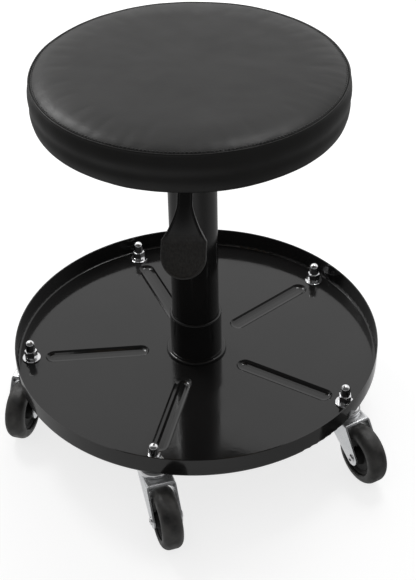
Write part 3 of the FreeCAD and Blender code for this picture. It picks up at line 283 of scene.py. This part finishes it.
def foam():
    """Open-cell foam."""
    finish = Finish("seat_foam", (0.72, 0.68, 0.55), roughness=0.9)
    finish.vary_colour(finish.noise(4 * MM, detail=4.0), dark=(0.62, 0.57, 0.44), light=(0.78, 0.74, 0.62))
    finish.raise_by(finish.cells(1.2 * MM), height=0.3 * MM)
    return finish.material


def plywood():
    """Birch-faced plywood with long grain."""
    finish = Finish("plywood", (0.55, 0.41, 0.26), roughness=0.62)
    grain = finish.noise(20 * MM, detail=6.0, stretch=(1.0, 9.0, 9.0))
    finish.vary_colour(grain, dark=(0.40, 0.27, 0.15), light=(0.62, 0.48, 0.31))
    finish.vary_roughness(finish.noise(10 * MM, detail=4.0), low=0.52, high=0.72)
    finish.raise_by(grain, height=0.1 * MM)
    return finish.material


FINISHES = {
    "black_paint": black_paint(),
    "black_plastic": black_plastic(),
    "zinc_steel": zinc_steel(),
    "bearing_steel": bearing_steel(),
    "chrome": chrome(),
    "tyre_rubber": tyre_rubber(),
    "buffer_rubber": buffer_rubber(),
    "leathercloth": leathercloth(),
    "foam": foam(),
    "plywood": plywood(),
}
THREAD = thread()
GRAINED_PLASTIC_WITH_PAINTED_SHADE = grained_plastic_with_painted_shade()
HUB_PLASTIC = hub_plastic()


# Metal and plastic pieces from the frame: finish, and a fine round on every sharp edge

EDGE_ANGLE = math.radians(38)
FLAT_ANGLE = math.radians(0.5)
JOIN_GAP = 0.004 * MM
EDGE_ROUND = {
    "tray": 0.5 * MM,
    "column_collar": 0.3 * MM,
    "lift_tube": 0.3 * MM,
    "lever_arm": 0.5 * MM,
    "lever_bracket": 0.3 * MM,
    "seat_plate": 0.4 * MM,
    "acorn_nuts": 0.3 * MM,
    "stem_washers": 0.25 * MM,
    "lock_washers": 0.2 * MM,
    "plate_bolts": 0.25 * MM,
    "fork": 0.35 * MM,
    "hub": 0.35 * MM,
    "raceway_cap": 0.2 * MM,
}


def dress(node):
    """Gives a node's slots the finish that each is named after."""
    for place in node.material_slots:
        if node.name.endswith("_hub"):
            place.material = HUB_PLASTIC
        else:
            place.material = FINISHES[place.material.name.split(".")[0]]


def round_edges(node, width):
    """A small round on the sharp edges, which catches the light."""
    joined = node.modifiers.new("joined", "WELD")
    joined.merge_threshold = JOIN_GAP
    flat = node.modifiers.new("flat", "DECIMATE")
    flat.decimate_type = "DISSOLVE"
    flat.angle_limit = FLAT_ANGLE
    edge = node.modifiers.new("edge", "BEVEL")
    edge.width = width
    edge.segments = 2
    edge.limit_method = "ANGLE"
    edge.angle_limit = EDGE_ANGLE
    edge.use_clamp_overlap = True
    weighted = node.modifiers.new("weighted", "WEIGHTED_NORMAL")
    weighted.keep_sharp = True


def kind_of(name):
    """A node's name without its caster's name."""
    for caster in CASTER_NAMES:
        name = name.removeprefix(caster + "_")
    return name


def dress_all():
    for name, node in frame["nodes"].items():
        dress(node)
        if kind_of(name) in EDGE_ROUND:
            round_edges(node, EDGE_ROUND[kind_of(name)])


dress_all()


# Meshes: closed skins over rows of rings, and their points as arrays

def linked(name, mesh):
    piece = bpy.data.objects.new(name, mesh)
    bpy.context.scene.collection.objects.link(piece)
    return piece


def smoothed(mesh, finish):
    """Smooth shading and one finish all over."""
    mesh.polygons.foreach_set("use_smooth", [True] * len(mesh.polygons))
    mesh.materials.clear()
    mesh.materials.append(finish)


def places_of(mesh):
    """The mesh's points and their normals."""
    places = numpy.zeros(len(mesh.vertices) * 3)
    mesh.vertices.foreach_get("co", places)
    normals = numpy.zeros(len(mesh.vertices) * 3)
    mesh.vertices.foreach_get("normal", normals)
    return places.reshape(-1, 3), normals.reshape(-1, 3)


def set_places(mesh, places):
    mesh.vertices.foreach_set("co", places.ravel())
    mesh.update()


def applied(piece):
    """Fixes a piece's modifiers into its mesh."""
    bpy.context.view_layer.update()
    shape = piece.evaluated_get(bpy.context.evaluated_depsgraph_get())
    mesh = bpy.data.meshes.new_from_object(shape)
    piece.modifiers.clear()
    old = piece.data
    piece.data = mesh
    bpy.data.meshes.remove(old)


def ring_mesh(name, grid, first, last):
    """A closed skin over rows of rings, with a point at either end."""
    rows, steps = grid.shape[:2]
    faces = []
    for row in range(rows - 1):
        for step in range(steps):
            after = (step + 1) % steps
            faces.append((row * steps + step, (row + 1) * steps + step,
                          (row + 1) * steps + after, row * steps + after))
    start = rows * steps
    last_row = start - steps
    for step in range(steps):
        after = (step + 1) % steps
        faces.append((start, step, after))
        faces.append((start + 1, last_row + after, last_row + step))
    mesh = bpy.data.meshes.new(name)
    mesh.from_pydata(numpy.concatenate([grid.reshape(-1, 3), [first, last]]).tolist(), [], faces)
    mesh.update()
    return mesh


def turned_mesh(name, outline, steps):
    """A closed skin, turned about the column's axis from the outline's points."""
    turns = numpy.arange(steps) * math.tau / steps
    grid = [[(radius * math.cos(turn), radius * math.sin(turn), height) for turn in turns]
            for radius, height, _ in outline[1:-1]]
    return ring_mesh(name, numpy.array(grid), (0, 0, outline[0][1]), (0, 0, outline[-1][1]))


def between(first, second, third, fourth):
    """The point midway from the second to the third, on a smooth curve through all four."""
    return (second + third) * 9 / 16 - (first + fourth) / 16


def finer_grid(grid):
    """One round of subdivision of rows of points, each row a closed ring."""
    rings = numpy.empty((grid.shape[0], grid.shape[1] * 2, 3))
    rings[:, 0::2] = grid
    rings[:, 1::2] = between(numpy.roll(grid, 1, 1), grid, numpy.roll(grid, -1, 1), numpy.roll(grid, -2, 1))
    padded_rows = numpy.concatenate([rings[:1], rings, rings[-1:]])
    rows = numpy.empty((rings.shape[0] * 2 - 1, rings.shape[1], 3))
    rows[0::2] = rings
    rows[1::2] = between(padded_rows[:-3], padded_rows[1:-2], padded_rows[2:-1], padded_rows[3:])
    return rows


def subdivided(piece, rows):
    """Replaces a turned piece's mesh by one with twice the rows and steps."""
    places, _ = places_of(piece.data)
    grid = finer_grid(places[:-2].reshape(rows, -1, 3))
    old = piece.data
    piece.data = ring_mesh(old.name, grid, places[-2], places[-1])
    bpy.data.meshes.remove(old)


# Cushion outline: insets and drops in millimetres from the cover's radius and crown

CUSHION_STEPS = 200
COVER_EASE = 1.5 * MM
SEAM_INSET = 4.1 * MM
SWELL_LIMIT = 0.5 * MM
AXIS_GAP = 0.001 * MM
SKIN_GAP = 0.25 * MM
PANEL_FALL = 0.25 * MM
PANEL_SHARES = (0.06, 0.14, 0.22, 0.30, 0.38, 0.46, 0.54, 0.61, 0.67, 0.72, 0.77)
PANEL_EDGE = ((29, 0.3), (24, 0.45), (19, 0.85), (15.5, 1.35), (12.5, 2.0), (10, 2.8), (8, 3.6),
              (6.6, 4.3), (5.6, 4.9))
SEAM = ((4.9, 5.8), (4.35, 6.2), (4.0, 7.1), (3.6, 6.3), (3.0, 5.8), (2.35, 5.9), (1.95, 6.5), (1.95, 7.4))
BAND = ((1.7, 8.6), (1.35, 10.6), (0.75, 13.2), (0.25, 16), (0.05, 19), (0.2, 22), (0.65, 25), (0.95, 28),
        (0.85, 31), (0.7, 34), (0.95, 37), (1.4, 39.6), (1.95, 41.6))
# The hem's second numbers are rises from the cover's foot
HEM = ((2.7, 2.6), (3.6, 1.2), (5.2, 0.35), (8, 0.1), (12, 0), (17, 0), (22, 0.02), (25.5, 0.1), (26.1, 0.5))
HEM_FOLD = 25.5 * MM
HEM_TUCK = 16 * MM


def cushion_sizes():
    cover_low, cover_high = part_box("seat_cover")
    board_low, board_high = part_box("seat_board")
    return {
        "radius": cover_high.x + COVER_EASE,
        "crown": cover_high.z,
        "foot": cover_low.z,
        "board_radius": board_high.x,
        "board_foot": board_low.z,
        "board_top": board_high.z,
    }


def board_pocket(size):
    """The end of the outline: the hem's fold under the board, then the room that the board fills."""
    edge, low, high = size["board_radius"], size["board_foot"], size["board_top"]
    return [
        (size["radius"] - HEM_FOLD, low - SKIN_GAP, True),
        (size["radius"] - HEM_TUCK, low - SKIN_GAP, True),
        (edge - SKIN_GAP, low - SKIN_GAP, True),
        (edge + SKIN_GAP, low + SKIN_GAP, True),
        (edge + SKIN_GAP, high - SKIN_GAP, True),
        (edge - SKIN_GAP, high + SKIN_GAP, True),
        (edge * 0.5, high + SKIN_GAP, True),
        (AXIS_GAP, high + SKIN_GAP, True),
    ]


def cushion_outline(size):
    """The points of the turned outline, from the middle of the top to the middle of the board,
    each as radius, height and whether it is held still while the cushion swells."""
    radius, crown, foot = size["radius"], size["crown"], size["foot"]
    top = crown - SWELL_LIMIT
    side = radius - SWELL_LIMIT * 0.5
    panel = [(AXIS_GAP, top, False)]
    panel += [(radius * share, top - PANEL_FALL * share, False) for share in PANEL_SHARES]
    panel += [(radius - inset * MM, top - drop * MM, False) for inset, drop in PANEL_EDGE]
    seam = [(radius - inset * MM, crown - drop * MM, True) for inset, drop in SEAM]
    band = [(side - inset * MM, crown - drop * MM, False) for inset, drop in BAND]
    hem = [(radius - inset * MM, foot + rise * MM, True) for inset, rise in HEM]
    return panel + seam + band + hem + board_pocket(size)


# Cushion swelling: the skin is stuffed as cloth, and firm foam under it holds it back

SWELL_FRAMES = 20
SWELL_SHARE = 0.3
WRINKLE_SHARE = 0.3
CLOTH_SETTINGS = {
    "quality": 5,
    "mass": 0.3,
    "tension_stiffness": 25,
    "compression_stiffness": 25,
    "bending_stiffness": 1.5,
    "use_pressure": True,
    "uniform_pressure_force": 4.0,
}


def stuffed(piece, held):
    """Simulates the skin with pressure inside. The held points stay where they are."""
    group = piece.vertex_groups.new(name="held")
    group.add(held, 1.0, "REPLACE")
    cloth = piece.modifiers.new("stuffing", "CLOTH")
    for name, value in CLOTH_SETTINGS.items():
        setattr(cloth.settings, name, value)
    cloth.settings.vertex_group_mass = group.name
    cloth.settings.effector_weights.gravity = 0.0
    cloth.collision_settings.use_collision = False
    cloth.point_cache.frame_start = 1
    cloth.point_cache.frame_end = SWELL_FRAMES
    for number in range(1, SWELL_FRAMES + 1):
        bpy.context.scene.frame_set(number)
    applied(piece)
    bpy.context.scene.frame_set(1)


def eased(moves):
    """A share of each row's even move, and a share of what its points do beyond that."""
    even = moves.mean(1, keepdims=True)
    return even * SWELL_SHARE + (moves - even) * WRINKLE_SHARE


def held_back(start, moves):
    """The moves outward and upward that firm foam leaves, up to the limit."""
    turns = numpy.arctan2(start[:-2, 1], start[:-2, 0])
    outward = numpy.stack([numpy.cos(turns), numpy.sin(turns)], 1)
    along = (moves[:-2, :2] * outward).sum(1).reshape(-1, CUSHION_STEPS)
    upward = moves[:-2, 2].reshape(-1, CUSHION_STEPS)
    moves[:-2, :2] = outward * eased(along).reshape(-1, 1)
    moves[:-2, 2] = eased(upward).ravel()
    lengths = numpy.linalg.norm(moves, axis=1, keepdims=True)
    return moves * numpy.minimum(1.0, SWELL_LIMIT / numpy.maximum(lengths, AXIS_GAP))


def swell(piece, held):
    start, _ = places_of(piece.data)
    stuffed(piece, held)
    moves = places_of(piece.data)[0] - start
    set_places(piece.data, start + held_back(start, moves))


# Cushion surface: broad unevenness, and the gathers that the stitching draws in

# Waves per metre, and height in millimetres
EASE_WAVES = ((22, 0.35), (60, 0.14))
EASE_OVER_BOARD = 2 * MM
EASE_BESIDE_BOARD = 1 * MM
GATHER_DEPTH = 0.2 * MM
GATHER_BAND = (0.5 * MM, 14 * MM)
GATHER_SECTOR = 6
# The range that each is drawn from, with lengths in millimetres
GATHER_STRENGTHS = (0.2, 1.0)
GATHER_LENGTHS = (4, 9)
GATHER_HALF_WIDTHS = (1.6, 2.8)
GATHER_PITCHES = (4.5, 9.5)


def cushion_ease(mesh, size):
    """Broad, slight unevenness, as in any stuffed cover."""
    places, normals = places_of(mesh)
    reach = numpy.hypot(places[:, 0], places[:, 1])
    over = places[:, 2] > size["board_top"] + EASE_OVER_BOARD
    beside = reach > size["board_radius"] + EASE_BESIDE_BOARD
    for index in numpy.nonzero(over | beside)[0]:
        spot = Vector(places[index])
        wave = sum(noise.noise(spot * pitch) * height for pitch, height in EASE_WAVES)
        places[index] += normals[index] * wave * MM
    set_places(mesh, places)


def fallen(distance, reach):
    """A smooth fall from one to nothing over the reach."""
    share = min(abs(distance) / reach, 1.0)
    return (1 - share * share) ** 2


def sector_of(angle):
    return int(math.degrees(angle) / GATHER_SECTOR)


def gathers_by_sector(radius):
    """The gathers round the seam, each as its angle, strength, length and half width."""
    draw = random.Random(SEED)
    sectors = {}
    angle = 0.0
    while angle < math.tau:
        gather = (angle, draw.uniform(*GATHER_STRENGTHS), draw.uniform(*GATHER_LENGTHS) * MM,
                  draw.uniform(*GATHER_HALF_WIDTHS) * MM)
        sectors.setdefault(sector_of(angle), []).append(gather)
        angle += draw.uniform(*GATHER_PITCHES) * MM / radius
    return sectors


def cushion_gathers(mesh, size):
    """The little radial gathers that the stitching draws into the edge of the top panel."""
    sectors = gathers_by_sector(size["radius"])
    for vertex in mesh.vertices:
        reach = math.hypot(vertex.co.x, vertex.co.y)
        inset = size["radius"] - SEAM_INSET - reach
        if vertex.co.z < size["board_top"] or not GATHER_BAND[0] < inset < GATHER_BAND[1]:
            continue
        angle = math.atan2(vertex.co.y, vertex.co.x) % math.tau
        place = sector_of(angle)
        for turn, strength, length, half_width in sum((sectors.get(place + n, []) for n in (-1, 0, 1)), []):
            across = (angle - turn) * reach
            if abs(across) < half_width and inset < length:
                fall = fallen(across, half_width) * fallen(inset, length)
                vertex.co.z -= GATHER_DEPTH * strength * fall


def cushion():
    """One closed skin, turned from its outline, swollen as stuffed cloth, then sewn."""
    size = cushion_sizes()
    outline = cushion_outline(size)
    rows = len(outline) - 2
    piece = linked("cushion", turned_mesh("cushion", outline, CUSHION_STEPS))
    held = [row * CUSHION_STEPS + step for row in range(rows) if outline[row + 1][2]
            for step in range(CUSHION_STEPS)]
    held.append(rows * CUSHION_STEPS + 1)
    swell(piece, held)
    subdivided(piece, rows)
    cushion_ease(piece.data, size)
    cushion_gathers(piece.data, size)
    smoothed(piece.data, FINISHES["leathercloth"])
    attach(piece, "seat")
    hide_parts("seat_cover", "seat_foam")


# Stitches: one short thread after another round the edge of the top panel

STITCH_PITCH = 3.6 * MM
STITCH_LENGTH = 2.5 * MM
STITCH_HALF_WIDTH = 0.42 * MM
STITCH_INSET = 1.3 * MM
STITCH_DROP = 5.35 * MM
STITCH_SLANT = math.radians(6)
STITCH_SIDES = 8
# Shares of the half length and of the half width there
STITCH_RINGS = ((-1.0, 0.15), (-0.85, 0.62), (-0.5, 0.95), (0.0, 1.0), (0.5, 0.95), (0.85, 0.62), (1.0, 0.15))


def stitch_points(place):
    """One short thread along the place's Y, round in section and drawn in at its ends."""
    points = []
    for along_share, width_share in STITCH_RINGS:
        across = STITCH_HALF_WIDTH * width_share
        along = STITCH_LENGTH / 2 * along_share
        for side in range(STITCH_SIDES):
            turn = math.tau * side / STITCH_SIDES
            points.append(place @ Vector((across * math.cos(turn), along, across * math.sin(turn))))
    return points


def stitch_faces(start):
    sides = STITCH_SIDES
    faces = []
    for ring in range(len(STITCH_RINGS) - 1):
        for side in range(sides):
            after = (side + 1) % sides
            low = start + ring * sides
            faces.append((low + side, low + sides + side, low + sides + after, low + after))
    top = start + (len(STITCH_RINGS) - 1) * sides
    faces.append([start + side for side in range(sides)])
    faces.append([top + side for side in reversed(range(sides))])
    return faces


def stitches():
    size = cushion_sizes()
    reach = size["radius"] - SEAM_INSET - STITCH_INSET
    spot = Matrix.Translation((reach, 0, size["crown"] - STITCH_DROP)) @ Matrix.Rotation(STITCH_SLANT, 4, "X")
    count = round(math.tau * reach / STITCH_PITCH)
    points = []
    faces = []
    for number in range(count):
        faces += stitch_faces(len(points))
        points += stitch_points(Matrix.Rotation(math.tau * number / count, 4, "Z") @ spot)
    mesh = bpy.data.meshes.new("seam_stitches")
    mesh.from_pydata(points, [], faces)
    smoothed(mesh, THREAD)
    piece = linked("seam_stitches", mesh)
    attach(piece, "seat")


cushion()
stitches()


# Paddle: the bottle shape of the frame's piece, with a soft bend and a rounded border, in millimetres

# Its neck, bend and tip, as the reach from the column's axis and the height
PADDLE_REACH = (49.0, 76.5, 100.0)
PADDLE_HEIGHT = (322.0, 270.1, 240.1)
PADDLE_DIRECTION = math.radians(278)
PADDLE_THICKNESS = 9.0
PADDLE_NECK = 7.5
PADDLE_HALF_WIDTH = 21.75
PADDLE_NECK_RUN = 25.0
PADDLE_FLARE_SHARE = 0.38
PADDLE_LEAST = 0.05
BEND_LENGTH = 8.0
BEND_STEPS = 40
FLARE_STEPS = 16
TIP_STEPS = 24
NECK_END_SHARES = (0.25, 0.5, 0.75, 1.0)
NECK_SHARES = (0.2, 0.4, 0.6, 0.8, 1.0)
STRAIGHT_SHARES = (0.3, 0.6, 0.9)
# Insets and rises over the back, then insets and depths under the front: the border is raised 1.2
PADDLE_BACK = ((0.8, 0.0), (0.25, 0.2), (0.0, 0.8))
PADDLE_BORDER = ((0.0, 1.2), (0.15, 0.6), (0.5, 0.15), (1.0, 0.0), (1.8, 0.0), (2.2, 0.15), (2.45, 0.6),
                 (2.6, 1.0), (2.9, 1.2))


def paddle_runs():
    """The lengths along the paddle from its neck to the shoulder and to the tip."""
    reaches, heights = PADDLE_REACH, PADDLE_HEIGHT
    first = math.hypot(reaches[1] - reaches[0], heights[1] - heights[0])
    second = math.hypot(reaches[2] - reaches[1], heights[2] - heights[1])
    return first, first + second


def paddle_slopes():
    """The slopes of the paddle above and below its bend."""
    reaches, heights = PADDLE_REACH, PADDLE_HEIGHT
    return [math.atan2(heights[n + 1] - heights[n], reaches[n + 1] - reaches[n]) for n in (0, 1)]


def paddle_half():
    """One side of the outline, from the neck to the tip, as the run and the half width."""
    run, reach = paddle_runs()
    wide, narrow = PADDLE_HALF_WIDTH, PADDLE_NECK
    points = [(0.0, narrow * share) for share in NECK_END_SHARES]
    points += [(PADDLE_NECK_RUN * share, narrow) for share in NECK_SHARES]
    for step in range(1, FLARE_STEPS + 1):
        share = step / FLARE_STEPS
        lag = share * (1 - share) * 4 * (0.5 - PADDLE_FLARE_SHARE)
        points.append((PADDLE_NECK_RUN + (run - PADDLE_NECK_RUN) * share,
                       narrow + (wide - narrow) * (share - lag)))
    straight = reach - wide - run
    points += [(run + straight * share, wide) for share in STRAIGHT_SHARES]
    for step in range(TIP_STEPS):
        turn = math.pi / 2 * step / TIP_STEPS
        points.append((reach - wide + wide * math.sin(turn), wide * math.cos(turn)))
    return points


def drawn_in(points, inset):
    """The outline's side moved inwards by the inset."""
    moved = []
    for number, (along, across) in enumerate(points):
        before = points[max(number - 1, 0)]
        after = points[min(number + 1, len(points) - 1)]
        slope = Vector((after[0] - before[0], after[1] - before[1])).normalized()
        moved.append((along + slope.y * inset, max(across - slope.x * inset, PADDLE_LEAST)))
    return moved


def paddle_place(along, across, height):
    """A point of the bent paddle in metres."""
    run = paddle_runs()[0]
    upper, lower = paddle_slopes()
    reach, level = PADDLE_REACH[0], PADDLE_HEIGHT[0]
    slope = upper
    for step in range(BEND_STEPS):
        share = (along * (step + 0.5) / BEND_STEPS - run) / BEND_LENGTH + 0.5
        share = min(max(share, 0.0), 1.0)
        slope = upper + (lower - upper) * share * share * (3 - 2 * share)
        reach += math.cos(slope) * along / BEND_STEPS
        level += math.sin(slope) * along / BEND_STEPS
    spot = Vector((reach - math.sin(slope) * height, across, level + math.cos(slope) * height))
    return Matrix.Rotation(PADDLE_DIRECTION, 3, "Z") @ spot * MM


def paddle_ring(half, inset, height):
    """The whole outline drawn in by the inset, at that height over the back."""
    side = drawn_in(half, inset)
    tip = (paddle_runs()[1] - inset, 0.0)
    loop = [*side, tip, *((along, -across) for along, across in reversed(side))]
    return [tuple(paddle_place(along, across, height)) for along, across in loop]


def paddle_faces(rows, count):
    """The walls from ring to ring, and both ends closed from side to side."""
    faces = []
    for row in range(rows - 1):
        for step in range(count):
            after = (step + 1) % count
            low, high = row * count, (row + 1) * count
            faces.append((low + step, low + after, high + after, high + step))
    last = (rows - 1) * count
    for step in range(count // 2):
        mirror = count - 1 - step
        ahead = [step + 1] if step + 1 == mirror - 1 else [step + 1, mirror - 1]
        faces.append([last + corner for corner in [step, *ahead, mirror]])
        faces.append([mirror, *reversed(ahead), step])
    return faces


def paddle():
    half = paddle_half()
    rows = [*PADDLE_BACK, *((inset, PADDLE_THICKNESS - depth) for inset, depth in PADDLE_BORDER)]
    points = [spot for inset, height in rows for spot in paddle_ring(half, inset, height)]
    mesh = bpy.data.meshes.new("paddle")
    mesh.from_pydata(points, [], paddle_faces(len(rows), len(half) * 2 + 1))
    smoothed(mesh, GRAINED_PLASTIC_WITH_PAINTED_SHADE)
    piece = linked("paddle", mesh)
    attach(piece, "lever")
    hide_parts("lever_paddle")


paddle()


# Studio: pale floor, white surroundings, soft boxes overhead, and the camera

FLOOR_HALF = 30.0
FLOOR_GREY = 0.42
POOL_PLACE = (-0.10, -0.38, 0.0)
BRIGHT_WAY = (-0.15, 0.92, 0.36)
SURROUNDING_LIGHT = 0.40
LAMP_AIM = (0.0, 0.0, 0.2)
# Name, place, width in metres, power in watts, and whether surfaces mirror it
LAMPS = (
    ("key_left", (-0.90, 0.60, 1.37), 0.4, 6.0, True),
    ("key_right", (0.24, 0.57, 1.62), 0.35, 3.5, True),
    ("back_top", (0.1, 1.3, 1.7), 1.1, 8.0, False),
)


def floor_glow(finish):
    """For the eye the floor is white further out. What mirrors it sees one bright pool in front
    of the tray and another under it."""
    path = finish.add("LightPath", {})
    reach = finish.measured("LENGTH", finish.place)
    apart = finish.measured("DISTANCE", finish.place, POOL_PLACE)
    white = finish.spread(reach, low=0.76, high=1.0, ends=(0.30, 1.6), way="SMOOTHSTEP")
    pool = finish.spread(apart, low=0.32, high=0.0, ends=(0.20, 0.52), way="SMOOTHSTEP")
    under = finish.spread(reach, low=0.58, high=0.0, ends=(0.20, 0.27), way="SMOOTHSTEP")
    seen = finish.maths("MULTIPLY", path["Is Camera Ray"], white)
    return finish.maths("MULTIPLY_ADD", path["Is Glossy Ray"], finish.maths("MAXIMUM", pool, under), seen)


def studio_floor():
    """A pale matt floor that keeps the shadow, and is clear from below."""
    corners = [(x * FLOOR_HALF, y * FLOOR_HALF, 0) for x, y in ((-1, -1), (1, -1), (1, 1), (-1, 1))]
    mesh = bpy.data.meshes.new("studio_floor")
    mesh.from_pydata(corners, [], [(0, 1, 2, 3)])
    finish = Finish("studio_floor", grey(FLOOR_GREY), roughness=1.0, specular=0.0)
    finish.feed(finish.shader, {"Emission Color": WHITE, "Emission Strength": floor_glow(finish)})
    below = finish.add("NewGeometry", {})["Backfacing"]
    clear = finish.add("BsdfTransparent", {})["BSDF"]
    surface = finish.mixed(below, finish.shader.outputs["BSDF"], clear)
    finish.feed(finish.nodes["Material Output"], {"Surface": surface})
    mesh.materials.append(finish.material)
    linked("studio_floor", mesh)


def mirrored_level(graph):
    """What the surfaces reflect is bright behind and near the horizon, and dim in front."""
    way = graph.add("TexCoord", {})["Generated"]
    behind = graph.measured("DOT_PRODUCT", way, BRIGHT_WAY)
    upward = graph.add("SeparateXYZ", {"Vector": way})["Z"]
    level = graph.spread(behind, low=0.08, high=1.0, ends=(-0.10, 0.55), way="SMOOTHSTEP")
    horizon = graph.spread(upward, low=0.70, high=0.0, ends=(0.0, 0.20), way="SMOOTHSTEP")
    return graph.maths("MAXIMUM", level, horizon)


def surroundings():
    """White for the eye and through glass, and a plain soft light on the object."""
    world = bpy.data.worlds.new("studio")
    bpy.context.scene.world = world
    world.use_nodes = True
    world.node_tree.nodes.clear()
    graph = Graph(world.node_tree)
    path = graph.add("LightPath", {})
    seen = graph.maths("MAXIMUM", path["Is Camera Ray"], path["Is Transmission Ray"])
    mirrored = graph.background(mirrored_level(graph))
    by_gloss = graph.mixed(path["Is Glossy Ray"], graph.background(SURROUNDING_LIGHT), mirrored)
    surface = graph.mixed(seen, by_gloss, graph.background(1.0))
    graph.add("OutputWorld", {"Surface": surface})


def soft_box(name, place, width, power, mirrored):
    lamp = bpy.data.lights.new(name, "AREA")
    lamp.shape = "SQUARE"
    lamp.size = width
    lamp.energy = power
    holder = linked(name, lamp)
    holder.visible_glossy = mirrored
    holder.location = place
    holder.rotation_euler = (Vector(LAMP_AIM) - Vector(place)).to_track_quat("-Z", "Y").to_euler()


CAMERA_PLACE = (0.2660, -1.0329, 0.9683)
CAMERA_HEADING = math.radians(103.707)
CAMERA_PITCH = math.radians(37.460)
CAMERA_ROLL = -0.0195
CAMERA_LENS = 78.74
CAMERA_SENSOR = 36.0


def camera():
    """The photograph's viewpoint. The lens is for the picture's long side."""
    ahead = Vector((math.cos(CAMERA_HEADING), math.sin(CAMERA_HEADING), 0))
    upward = Vector((0, 0, 1))
    sight = ahead * math.cos(CAMERA_PITCH) - upward * math.sin(CAMERA_PITCH)
    right = Vector((ahead.y, -ahead.x, 0))
    above = right.cross(sight)
    turned_right = right * math.cos(CAMERA_ROLL) + above * math.sin(CAMERA_ROLL)
    turned_above = above * math.cos(CAMERA_ROLL) - right * math.sin(CAMERA_ROLL)
    axes = Matrix((turned_right, turned_above, -sight)).transposed()
    lens = bpy.data.cameras.new("camera")
    lens.sensor_width = CAMERA_SENSOR
    lens.lens = CAMERA_LENS
    holder = linked("camera", lens)
    holder.matrix_world = Matrix.Translation(CAMERA_PLACE) @ axes.to_4x4()
    bpy.context.scene.camera = holder


studio_floor()
surroundings()
for lamp_facts in LAMPS:
    soft_box(*lamp_facts)
camera()
bpy.context.scene.view_settings.view_transform = "Standard"
